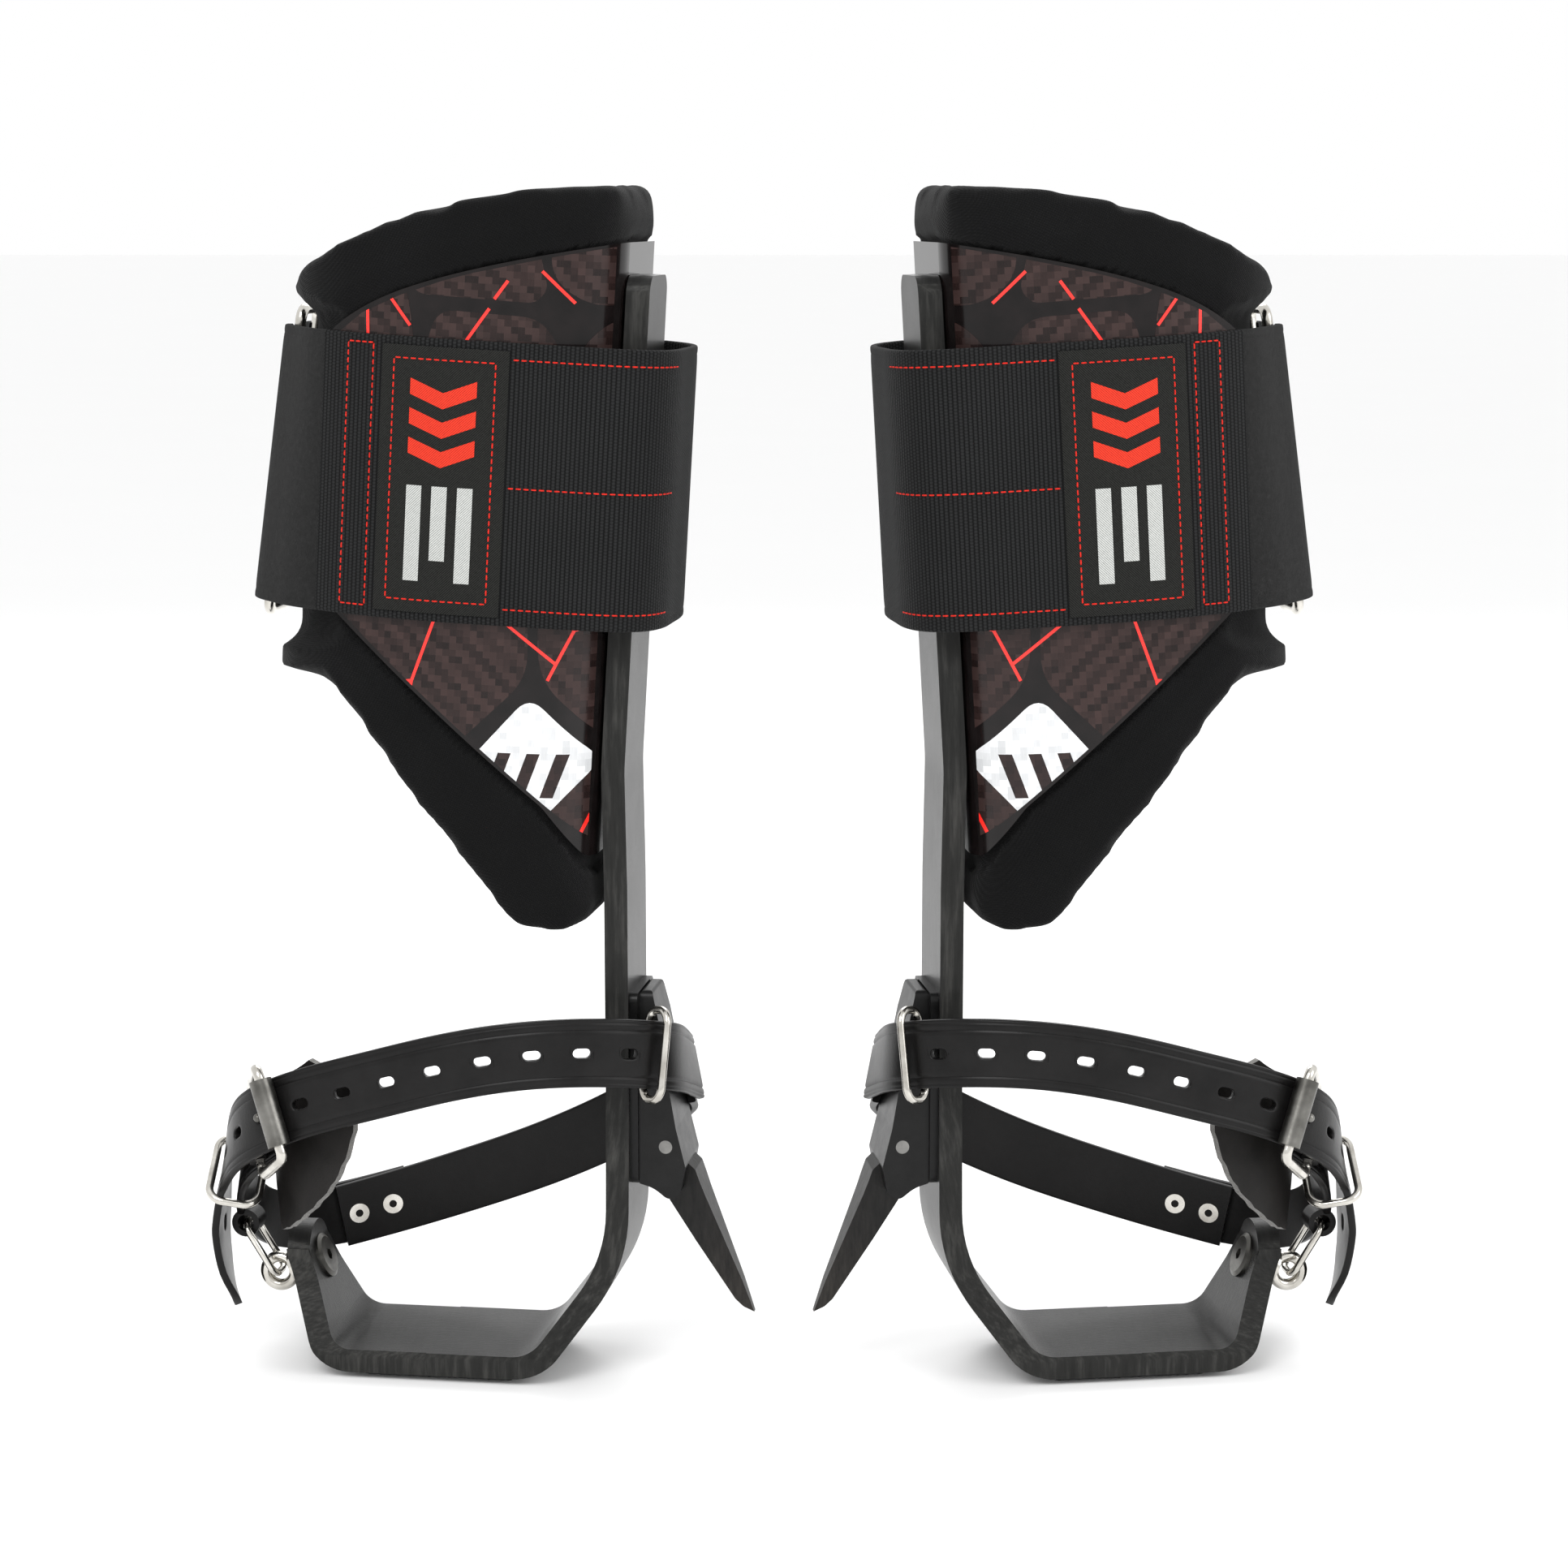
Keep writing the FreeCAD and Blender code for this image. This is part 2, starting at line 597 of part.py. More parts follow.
def buckle_guard():
    """Leather tongue that keeps the buckle off the boot."""
    def width(fraction):
        return 8 + 36 * math.sin(math.pi * min(1.0, 0.06 + 0.9 * fraction)) ** 0.6
    return Ribbon(GUARD).solid(2.6, 20, 0.0, width)


def buckle_frame():
    """Wire frame of the roller buckle."""
    heel, ahead, normal, heel_edge = front_point(HEEL_BEHIND, -HEEL_DEPTH)
    front, ahead, normal, edge = front_point(-ROLLER_AHEAD, roller_height())
    corners = [
        (front + edge * BUCKLE_ARM, BUCKLE_CORNER),
        (heel + heel_edge * BUCKLE_ARM, BUCKLE_CORNER),
        (heel - heel_edge * BUCKLE_ARM, BUCKLE_CORNER),
        (front - edge * BUCKLE_ARM, BUCKLE_CORNER),
    ]
    return wire_loop(corners, BUCKLE_WIRE_RADIUS)


def roller_height():
    """Roller's axis above the strap's middle."""
    return LEATHER_THICKNESS / 2 + 0.3 + ROLLER_RADIUS


def buckle_roller():
    """Tube that turns on the buckle's front bar."""
    centre, ahead, normal, edge = front_point(-ROLLER_AHEAD, roller_height())
    start = centre - edge * ROLLER_HALF_LENGTH
    length = 2 * ROLLER_HALF_LENGTH
    tube = cylinder(start, edge, ROLLER_RADIUS, length)
    return tube.cut(cylinder(start, edge, ROLLER_BORE, length))


def buckle_prong():
    """Bent prong that turns on the heel bar and comes out through the strap's hole."""
    heel, ahead, normal, edge = front_point(HEEL_BEHIND, -HEEL_DEPTH)
    eye = cylinder(heel - edge * 1.6, edge, PRONG_EYE_RADIUS, 3.2)
    corners = [
        (heel - ahead * 2.4, 0.0),
        (front_point(HEEL_BEHIND - 10.5, -5.2)[0], 2.0),
        (front_point(0.5, -2.0)[0], 1.5),
        (front_point(-1.0, 4.4)[0], 0.0),
    ]
    stem = bent_wire(corner_edges(corners, False), PRONG_RADIUS)
    ball = Part.makeSphere(PRONG_BALL_RADIUS, corners[-1][0])
    prong = eye.multiFuse([stem, ball])
    return prong.cut(cylinder(heel - edge * 8, edge, BUCKLE_WIRE_RADIUS + 0.05, 16))


def link_top():
    """Middle of the link's upper bar."""
    return eye_centre() + unit(V(-0.52, 0, 0.854)) * 23.0


def lower_link():
    """Oval wire link from the eye nut to the buckle strap's loop."""
    low = eye_centre()
    high = link_top()
    return wire_ring((low + high) * 0.5, V(0, 1, 0), high - low, 13.0, low.distanceToPoint(high),
                     4.5, LINK_WIRE_RADIUS)


def keeper_ring():
    """Wire keeper round the front strap and the buckle strap."""
    middle, ahead, normal, edge, width = Ribbon(FRONT_STRAP).frame(KEEPER_PLACE)
    return wire_ring(middle - normal * 4.7, normal, edge, 18.6, 32.0, 6.0, 1.5)


def holder_ring():
    """Wire keeper that guides the strap beside the gaff holder."""
    middle, ahead, normal, edge, width = Ribbon(FRONT_STRAP).frame(0.155)
    across = unit(normal + ahead * 0.25)
    return wire_ring(middle - normal * 0.3, across, edge, 12.0, 33.0, 5.0, 1.5)


# ==== cuff: all in the leaning frame (a, v, h) ==============================================

CORNER_CENTRE = (-SHELL_GAP - CORNER_RADIUS, CORNER_V)


def arc_point(centre, radius, angle):
    """Point (a, v) on a circle; the angle turns from +a towards the front."""
    turn = math.radians(angle)
    return centre[0] + radius * math.cos(turn), centre[1] - radius * math.sin(turn)


def next_centre(centre, radius, angle, next_radius):
    """Centre of the circle that carries on smoothly from another one."""
    return arc_point(centre, radius - next_radius, angle)


FRONT_CENTRE = next_centre(CORNER_CENTRE, CORNER_RADIUS, CORNER_END, FRONT_RADIUS)
SIDE_CENTRE = next_centre(FRONT_CENTRE, FRONT_RADIUS, FRONT_END, SIDE_RADIUS)


def around(angle, outward):
    """Point and outward direction on the cuff's outer surface, at mid height of the strap."""
    if angle < CORNER_END:
        centre, radius = CORNER_CENTRE, CORNER_RADIUS
    elif angle < FRONT_END:
        centre, radius = FRONT_CENTRE, FRONT_RADIUS
    else:
        centre, radius = SIDE_CENTRE, SIDE_RADIUS
    a, v = arc_point(centre, radius + outward, angle)
    turn = math.radians(angle)
    return (a, v, STRAP_MIDDLE), (math.cos(turn), -math.sin(turn), 0.0)


STRAP_MIDDLE = (STRAP_BOTTOM + STRAP_TOP) / 2


def wrap(outer, inner, back, end, low, high):
    """Curved wall between two depths below the cuff's outer surface."""
    sides = []
    for depth in (outer, inner):
        edges = [Part.LineSegment(V(-SHELL_GAP - depth, back, low),
                                  V(-SHELL_GAP - depth, CORNER_V, low)).toShape()]
        arcs = ((CORNER_CENTRE, CORNER_RADIUS, 0.0, CORNER_END),
                (FRONT_CENTRE, FRONT_RADIUS, CORNER_END, FRONT_END),
                (SIDE_CENTRE, SIDE_RADIUS, FRONT_END, end))
        for centre, radius, first, last in arcs:
            points = [V(*arc_point(centre, radius - depth, angle), low)
                      for angle in (first, (first + last) / 2, last)]
            edges.append(Part.Arc(*points).toShape())
        sides.append(edges)
    ends = [Part.LineSegment(sides[0][-1].Vertexes[-1].Point,
                             sides[1][-1].Vertexes[-1].Point).toShape(),
            Part.LineSegment(sides[1][0].Vertexes[0].Point,
                             sides[0][0].Vertexes[0].Point).toShape()]
    wire = Part.Wire(sides[0] + [ends[0]] + sides[1][::-1] + [ends[1]])
    return Part.Face(wire).extrude(V(0, 0, high - low))


def front_mask(top_points, lower_corners, grow):
    """Front outline of shell or pad: a smooth top edge, then straight lower edges."""
    depth = 100.0
    curve = Part.BSplineCurve()
    curve.interpolate(Points=[V(a, -depth, h + grow) for a, h in top_points])
    corners = [(V(a, -depth, h), radius) for a, h, radius in lower_corners]
    first = V(top_points[-1][0], -depth, top_points[-1][1] + grow)
    last = V(top_points[0][0], -depth, top_points[0][1] + grow)
    edges = corner_edges([(first, 0.0)] + corners + [(last, 0.0)], False)
    face = Part.Face(Part.Wire([curve.toShape()] + edges))
    return face.extrude(V(0, 2 * depth, 0))


def shell_mask(grow):
    """Front outline of the shell, grown outwards by a little."""
    top = [(8.0, 191.5), (-25.0, 184.0), (-60.0, 174.5), (-88.0, 163.0), (-114.0 - grow, 138.0)]
    low = [(-114.0 - grow, 68.0 - 1.8 * grow, 4), (-18.0, -12.5 - 1.3 * grow, 18),
           (-3.5, -31.0 - grow, 4), (8.0, -33.0 - grow, 0)]
    return front_mask(top, low, grow)


def pad_mask():
    """Front outline of the pad."""
    top = [(8.0, 213.0), (-33.0, 207.0), (-70.0, 198.0), (-104.0, 183.0)]
    low = [(-127.0, 170.0, 14), (-127.0, 27.5, 6), (-101.0, 27.5, 12), (-25.0, -59.5, 14),
           (-1.0, -59.5, 9), (-1.0, -20.0, 0), (8.0, -20.0, 0)]
    return front_mask(top, low, 0.0)


def back_mask(reach):
    """Side outline of the cuff's inner flank, rounded where it ends behind the bar."""
    outline = [(-70, -70, 0), (10, -70, 16), (reach, 40, 60), (reach, 195, 14),
               (reach - 20, 220, 0), (-70, 220, 0)]
    return prism(outline, "vz", -130, 10)


def cuff_shell():
    """Curved shell with two slots for the cuff bolts."""
    wall = wrap(0.0, SHELL_THICKNESS, SHELL_BACK, SHELL_END, -70, 220)
    shell = wall.common(shell_mask(0.0)).common(back_mask(SHELL_BACK))
    for height in CUFF_BOLT_HEIGHTS:
        shell = shell.cut(bolt_slot(height, CUFF_BOLT_RADIUS + 0.3, -6.0))
    return shell


def bolt_slot(height, radius, depth):
    """Room for a cuff bolt over the cuff's travel, cut inwards from the bar's face."""
    reach = CUFF_TRAVEL + radius + 0.5
    outline = [(-radius, height - reach, radius - 0.01), (radius, height - reach, radius - 0.01),
               (radius, height + reach, radius - 0.01), (-radius, height + reach, radius - 0.01)]
    return prism(outline, "vz", depth, 2.0)


def cuff_pad():
    """Foam pad inside the shell, with a rim that stands proud past the shell's edges."""
    under = SHELL_THICKNESS + PAD_GAP
    deep = under + PAD_THICKNESS
    body = wrap(under, deep, PAD_BACK, PAD_END, -80, 230)
    rim = wrap(-RIM_PROUD, deep, PAD_BACK, PAD_END, -80, 230)
    outline = pad_mask().common(back_mask(PAD_BACK).fuse(
        Part.makeBox(140, 120, 80, V(-130, -80, 160))))
    room = shell_mask(0.7)
    strap_zone = Part.makeBox(200, 200, 124, V(-150, -100, 38))
    bar_side = Part.makeBox(20, 200, 400, V(-SHELL_GAP - 0.9, -100, -100))
    rim = rim.common(outline).cut(room).cut(strap_zone).cut(bar_side)
    pad = body.common(outline).fuse(rim)
    flank = wrap(-10.0, 5.5, PAD_BACK, PAD_END, 38, 162)
    sector = prism([(-91, -33, 0), (-140, -60, 0), (-140, 30, 0), (-91, 10, 0)], "uv", 38, 162)
    ring_room, inside = sleeve(RING_FRONT, RING_WIRE_RADIUS, 5.6, WEBBING_WIDTH + 16)
    pad = pad.cut(flank.common(sector).cut(room)).cut(ring_room)
    for height in CUFF_BOLT_HEIGHTS:
        pad = pad.cut(bolt_slot(height, 7.2, -6.9))
    return pad.removeSplitter()


def cuff_bolts():
    """Two low round-headed bolts from inside the shell through its slots and the bar."""
    bolts = []
    under = SHELL_GAP + SHELL_THICKNESS + 0.1
    for height in CUFF_BOLT_HEIGHTS:
        start = V(-under, 0, height)
        shaft = cylinder(start, V(1, 0, 0), CUFF_BOLT_RADIUS, under + BAR_THICKNESS + 3.6)
        head = cylinder(start, V(-1, 0, 0), 6.4, 1.8)
        crown = Part.makeCone(6.4, 4.4, 1.0, start - V(1.8, 0, 0), V(-1, 0, 0))
        bolts.append(shaft.multiFuse([head, crown]).removeSplitter())
    return bolts


def cuff_nuts():
    """Two cap nuts on the outside of the bar."""
    nuts = []
    for height in CUFF_BOLT_HEIGHTS:
        start = V(BAR_THICKNESS, 0, height)
        nut = hexagon(start, V(1, 0, 0), 5.8, 4.2)
        dome = Part.makeCone(4.6, 3.0, 1.6, start + V(4.2, 0, 0), V(1, 0, 0))
        nut = nut.fuse(dome).removeSplitter()
        nuts.append(nut.cut(cylinder(start, V(1, 0, 0), CUFF_BOLT_RADIUS, 3.6)))
    return nuts


STRAP_LIFT = 0.45 + WEBBING_THICKNESS / 2
LATERAL_LEAN = 0.078        # the outer side leans outwards towards its bottom
RING_A = -124.6             # cuff ring's plane
RING_FRONT = -9.0
RING_REAR = 13.0


def station(angle, outward, lean=0.0):
    """Ribbon station on the cuff's outer surface."""
    point, normal = around(angle, outward)
    return point, (normal[0], normal[1], lean), WEBBING_WIDTH


def flat_station(a, v, normal_a, normal_v, lean=0.0):
    """Ribbon station at a given place at mid height of the strap."""
    return (a, v, STRAP_MIDDLE), (normal_a, normal_v, lean), WEBBING_WIDTH


def front_strap_stations():
    """Front webbing, from the splice behind the bar, round its outside and across the shell."""
    middle = STRAP_OUTSIDE - WEBBING_THICKNESS / 2
    stations = [
        flat_station(4.0, 46.5, 0.35, 0.95), flat_station(14.5, 37.5, 0.8, 0.6),
        flat_station(middle, 24.0, 1.0, 0.1), flat_station(middle + 0.3, 0.0, 1.0, 0.0),
        flat_station(middle - 0.4, -16.0, 1.0, -0.15), flat_station(13.0, -29.5, 0.7, -0.7),
        flat_station(-1.0, -37.3, 0.3, -0.95), flat_station(-20.0, -40.4, 0.16, -1.0),
    ]
    for angle in (82, 88, 94, 100, 106, 112, 118):
        stations.append(station(angle, STRAP_LIFT))
    return stations


def ring_tab_stations():
    """Hook-and-loop tab, from the front webbing's end to the ring's front bar."""
    return [station(118.3, STRAP_LIFT + 0.3), station(127, STRAP_LIFT + 0.6, 0.02),
            station(138, STRAP_LIFT + 1.4, 0.05), station(150, STRAP_LIFT + 2.6, 0.07),
            flat_station(RING_A - 3.2, RING_FRONT - 4.5, -1.0, -0.15, LATERAL_LEAN),
            flat_station(RING_A - 3.6, RING_FRONT, -1.0, 0.0, LATERAL_LEAN)]


def rear_strap_stations():
    """Rear webbing, from the splice round the calf to the ring's rear bar."""
    return [
        flat_station(3.0, 43.7, 0.35, 0.95), flat_station(-14.0, 51.5, 0.4, 0.9),
        flat_station(-32.0, 61.5, 0.3, 0.95), flat_station(-56.0, 67.5, 0.0, 1.0),
        flat_station(-82.0, 63.0, -0.4, 0.9, 0.02), flat_station(-104.0, 49.0, -0.7, 0.7, 0.04),
        flat_station(-118.0, 31.0, -0.95, 0.3, 0.06),
        flat_station(RING_A + 3.6, RING_REAR + 1.0, -1.0, 0.1, LATERAL_LEAN),
    ]


def flap_stations():
    """Closing flap: the webbing's end, folded back round the ring and stuck on outside."""
    return [
        flat_station(RING_A - 3.6, RING_REAR + 0.4, -1.0, 0.0, LATERAL_LEAN),
        flat_station(-124.4, 30.0, -0.95, 0.3, 0.07), flat_station(-110.6, 51.6, -0.7, 0.7, 0.05),
        flat_station(-90.0, 66.3, -0.45, 0.9, 0.03), flat_station(-66.0, 72.2, -0.1, 1.0, 0.0),
    ]


def lean_axis():
    """Direction of the ring's long bars."""
    return unit(V(LATERAL_LEAN, 0, 1))


def sleeve(v, inner, outer, height):
    """Tube of webbing round one of the ring's long bars."""
    axis = lean_axis()
    start = V(RING_A, v, STRAP_MIDDLE) - axis * (height / 2)
    return cylinder(start, axis, outer, height), cylinder(start - axis * 10, axis, inner,
                                                          height + 20)


def cuff_ring():
    """Rectangular wire ring that joins the two ends of the webbing."""
    centre = V(RING_A, (RING_FRONT + RING_REAR) / 2, STRAP_MIDDLE)
    return wire_ring(centre, V(0, 1, 0), lean_axis(), RING_REAR - RING_FRONT, 111.0, 4.0,
                     RING_WIRE_RADIUS)


def cuff_strap_front():
    """Front webbing."""
    return Ribbon(front_strap_stations()).solid(WEBBING_THICKNESS, 40)


def label_patch():
    """Plain woven patch sewn on the front webbing."""
    low = STRAP_BOTTOM + 4.0
    corners = [(-80.0, low, 1), (-35.0, low, 1), (-35.0, STRAP_TOP - 3.0, 1),
               (-80.0, STRAP_TOP - 3.0, 1)]
    lift = STRAP_LIFT + WEBBING_THICKNESS / 2
    wall = wrap(-lift - 1.4, -lift - 0.45, SHELL_BACK, SHELL_END, low, STRAP_TOP)
    return wall.common(prism(corners, "uz", -90, -20))


def ring_tab():
    """Hook-and-loop tab, looped round the ring's front bar."""
    tab = Ribbon(ring_tab_stations()).solid(WEBBING_THICKNESS, 20)
    outside, inside = sleeve(RING_FRONT, RING_WIRE_RADIUS + 0.1, 4.9, WEBBING_WIDTH)
    return tab.fuse(outside).cut(inside)


def cuff_strap_rear():
    """Rear webbing, turned round the ring's rear bar."""
    strap = Ribbon(rear_strap_stations()).solid(WEBBING_THICKNESS, 30)
    outside, inside = sleeve(RING_REAR, RING_WIRE_RADIUS + 0.1, 4.7, WEBBING_WIDTH)
    return strap.fuse(outside).cut(inside)


def strap_flap():
    """Closing flap."""
    flap = Ribbon(flap_stations()).solid(WEBBING_THICKNESS, 20)
    outside, inside = sleeve(RING_REAR, 5.0, 5.2, WEBBING_WIDTH + 10)
    return flap.cut(outside)


# ==== assembly ==============================================================================

def lean(shape):
    """From the cuff's frame to the spur's frame."""
    turned = shape.copy()
    turned.rotate(V(0, 0, 0), V(0, 1, 0), CUFF_LEAN)
    slope = math.radians(CUFF_LEAN)
    u, z = BAR_LINE[1][0]
    half = BAR_THICKNESS / 2
    turned.translate(V(u - half * math.cos(slope), 0, z + half * math.sin(slope)))
    return turned


def place(shape):
    """From the spur's frame to the left spur's place in the pair."""
    placed = shape.copy()
    placed.rotate(V(0, 0, 0), V(0, 0, 1), -TOE_ANGLE)
    placed.translate(V(-LEG_OFFSET, DEPTH_SHIFT, 0))
    return placed


def spur_parts():
    """Every piece of one spur, by name, in the spur's frame."""
    bolts = gaff_bolts()
    cuff_bolt_pieces = [lean(bolt) for bolt in cuff_bolts()]
    through = Part.makeCompound(bolts + cuff_bolt_pieces + [lateral_bolt()])
    pin = gaff_retaining_pin()
    parts = {
        "shank_frame": shank_frame().cut(through),
        "sole_tread": sole_tread(),
        "gaff_mount_plate": gaff_mount_plate().cut(through),
        "gaff_holder": gaff_holder().cut(through).cut(pin),
        "gaff": gaff().cut(pin),
        "gaff_bolts": Part.makeCompound(bolts),
        "gaff_retaining_pin": pin,
        "holder_ring": holder_ring(),
        "lateral_bolt": lateral_bolt(),
        "eye_nut": eye_nut().cut(shank_frame()),
        "lower_link": lower_link(),
        "keeper_ring": keeper_ring(),
        "ankle_strap_front": ankle_strap_front(),
        "ankle_strap_rear": ankle_strap_rear(),
        "strap_rivets": Part.makeCompound(strap_rivets()),
        "buckle_strap": buckle_strap(),
        "buckle_guard": buckle_guard(),
        "buckle_frame": buckle_frame(),
        "buckle_roller": buckle_roller(),
        "buckle_prong": buckle_prong(),
        "cuff_bolts": Part.makeCompound(cuff_bolt_pieces),
        "cuff_nuts": lean(Part.makeCompound(cuff_nuts())),
    }
    for make in (cuff_shell, cuff_pad, cuff_strap_front, label_patch, ring_tab, cuff_ring,
                 cuff_strap_rear, strap_flap):
        parts[make.__name__] = lean(make())
    return parts


def main():
    """Write one STEP file per piece and side."""
    os.makedirs("parts", exist_ok=True)
    for name, shape in spur_parts().items():
        left = place(shape)
        left.exportStep("parts/left_%s.step" % name)
        right = left.mirror(V(0, 0, 0), V(1, 0, 0))
        right.exportStep("parts/right_%s.step" % name)


main()
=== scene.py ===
"""Looks of the pair of tree climbing spurs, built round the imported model.

Pieces are described once, for the left spur, in millimetres, and mirrored for the right one.
The spur's frame has u from the outer to the inner side, v to the back and z up. The cuff's
frame has a = 0 on the bar's inner face, h up the bar and v to the back.
"""

import math

import bpy
import numpy as np
from mathutils import Matrix, Vector


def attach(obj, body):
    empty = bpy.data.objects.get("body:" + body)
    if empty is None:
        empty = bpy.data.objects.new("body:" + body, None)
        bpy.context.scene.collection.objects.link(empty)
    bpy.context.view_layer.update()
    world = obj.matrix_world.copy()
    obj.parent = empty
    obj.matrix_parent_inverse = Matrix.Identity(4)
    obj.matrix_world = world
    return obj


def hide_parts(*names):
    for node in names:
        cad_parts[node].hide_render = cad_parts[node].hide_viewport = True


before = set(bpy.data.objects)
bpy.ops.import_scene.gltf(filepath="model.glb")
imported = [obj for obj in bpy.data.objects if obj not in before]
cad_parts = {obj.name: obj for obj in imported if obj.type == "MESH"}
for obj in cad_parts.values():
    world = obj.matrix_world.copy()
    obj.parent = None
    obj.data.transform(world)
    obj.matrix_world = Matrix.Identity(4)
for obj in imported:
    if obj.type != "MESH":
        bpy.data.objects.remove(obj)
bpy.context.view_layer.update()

# ---- sizes shared with the model, in millimetres --------------------------------------------
SIDES = ("left", "right")
LEG_OFFSET = 110.0
DEPTH_SHIFT = -10.9
TOE_ANGLE = math.radians(8.0)
CUFF_LEAN = math.atan2(61.6 - 51.0, 409.0 - 231.0)
BAR_HALF = 4.3
SHELL_GAP = 0.35
SHELL_THICKNESS = 2.4
CORNER_RADIUS = 24.0
FRONT_RADIUS = 130.0
SIDE_RADIUS = 38.0
CORNER_END = 70.0
FRONT_END = 105.0
CORNER_V = -12.0
WEBBING_WIDTH = 100.0
WEBBING_THICKNESS = 2.6
STRAP_BOTTOM = 53.0
STRAP_MIDDLE = STRAP_BOTTOM + WEBBING_WIDTH / 2
STRAP_OUTSIDE = 20.0
STRAP_LIFT = 0.45 + WEBBING_THICKNESS / 2
LATERAL_LEAN = 0.078
RING_A = -124.6
RING_FRONT = -9.0
RING_REAR = 13.0
LEATHER_WIDTH = 25.0
LEATHER_THICKNESS = 3.0
HOLE_LENGTH = 6.6
HOLE_WIDTH = 3.6
HOLE_COUNT = 13
FIRST_HOLE = 0.2
HOLE_STEP = 0.0578

SPUR = (Matrix.Translation((-LEG_OFFSET, DEPTH_SHIFT, 0.0))
        @ Matrix.Rotation(-TOE_ANGLE, 4, "Z"))
CUFF = (SPUR
        @ Matrix.Translation((51.0 - BAR_HALF * math.cos(CUFF_LEAN), 0.0,
                              231.0 + BAR_HALF * math.sin(CUFF_LEAN)))
        @ Matrix.Rotation(CUFF_LEAN, 4, "Y"))
MIRROR = Matrix.Scale(-1.0, 4, (1.0, 0.0, 0.0))
METRES = Matrix.Scale(0.001, 4)


# ==== materials =============================================================================

class Nodes:
    """A material's node tree, with short calls for the nodes used here."""

    def __init__(self, name, **shader):
        self.material = bpy.data.materials.new(name)
        self.material.use_nodes = True
        self.tree = self.material.node_tree
        self.shader = self.tree.nodes["Principled BSDF"]
        for key, value in shader.items():
            self.shader.inputs[key.replace("_", " ")].default_value = value

    def add(self, kind, sockets, **settings):
        """New node; each socket takes a number, a colour or another node's output."""
        node = self.tree.nodes.new(kind)
        for key, value in settings.items():
            setattr(node, key, value)
        for key, value in sockets.items():
            if isinstance(value, bpy.types.NodeSocket):
                self.tree.links.new(value, node.inputs[key])
            else:
                node.inputs[key].default_value = value
        return node

    def place(self, source="Object", scale=(1.0, 1.0, 1.0), turn=(0.0, 0.0, 0.0)):
        """Coordinates in metres, or the strap's flat coordinates for source UV."""
        node = self.add("ShaderNodeTexCoord", {})
        return self.add("ShaderNodeMapping", {"Vector": node.outputs[source], "Scale": scale,
                                              "Rotation": turn}).outputs["Vector"]

    def noise(self, vector, scale, detail=2.0, roughness=0.5):
        """Noise from 0 to 1."""
        return self.add("ShaderNodeTexNoise", {"Vector": vector, "Scale": scale, "Detail": detail,
                                               "Roughness": roughness}).outputs["Fac"]

    def math(self, operation, first, second=0.0, third=0.0):
        """One arithmetic step."""
        return self.add("ShaderNodeMath", {0: first, 1: second, 2: third},
                        operation=operation).outputs[0]

    def split(self, vector):
        """The x, y and z outputs of a vector."""
        return self.add("ShaderNodeSeparateXYZ", {"Vector": vector}).outputs

    def ramp(self, factor, stops):
        """Colours along a factor, from (place, colour) stops."""
        node = self.add("ShaderNodeValToRGB", {"Fac": factor})
        elements = node.color_ramp.elements
        while len(elements) < len(stops):
            elements.new(0.5)
        for element, (place, colour) in zip(elements, stops):
            element.position = place
            element.color = (*colour, 1.0)
        return node.outputs["Color"]

    def mix(self, factor, first, second):
        """Colour mix."""
        node = self.add("ShaderNodeMix", {}, data_type="RGBA")
        for index, value in ((0, factor), (6, first), (7, second)):
            if isinstance(value, bpy.types.NodeSocket):
                self.tree.links.new(value, node.inputs[index])
            elif index:
                node.inputs[index].default_value = (*value, 1.0)
            else:
                node.inputs[index].default_value = value
        return node.outputs[2]

    def bump(self, height, distance, strength=1.0, below=None):
        """Bump from a height, on top of another bump if given."""
        sockets = {"Height": height, "Distance": distance, "Strength": strength}
        if below:
            sockets["Normal"] = below
        return self.add("ShaderNodeBump", sockets).outputs["Normal"]

    def finish(self, colour=None, roughness=None, normal=None):
        """Links the shader and returns the material."""
        for key, value in (("Base Color", colour), ("Roughness", roughness), ("Normal", normal)):
            if value is not None:
                self.tree.links.new(value, self.shader.inputs[key])
        return self.material


def grey(level):
    """Neutral colour."""
    return (level, level, level)


def metal(name, dark, light, rough, streak, brushed=0.0):
    """Plated or polished metal with faint clouds and fine scratches."""
    nodes = Nodes(name, Metallic=1.0)
    place = nodes.place()
    clouds = nodes.noise(place, 90.0, 4.0)
    scratches = nodes.noise(nodes.place(scale=streak), 120.0, 3.0, 0.7)
    colour = nodes.ramp(clouds, [(0.3, dark), (0.7, light)])
    level = nodes.math("MULTIPLY_ADD", scratches, 0.18 + brushed, rough - 0.09)
    normal = nodes.bump(scratches, 0.00004 + brushed * 0.0003, 0.4)
    return nodes.finish(colour, level, normal)


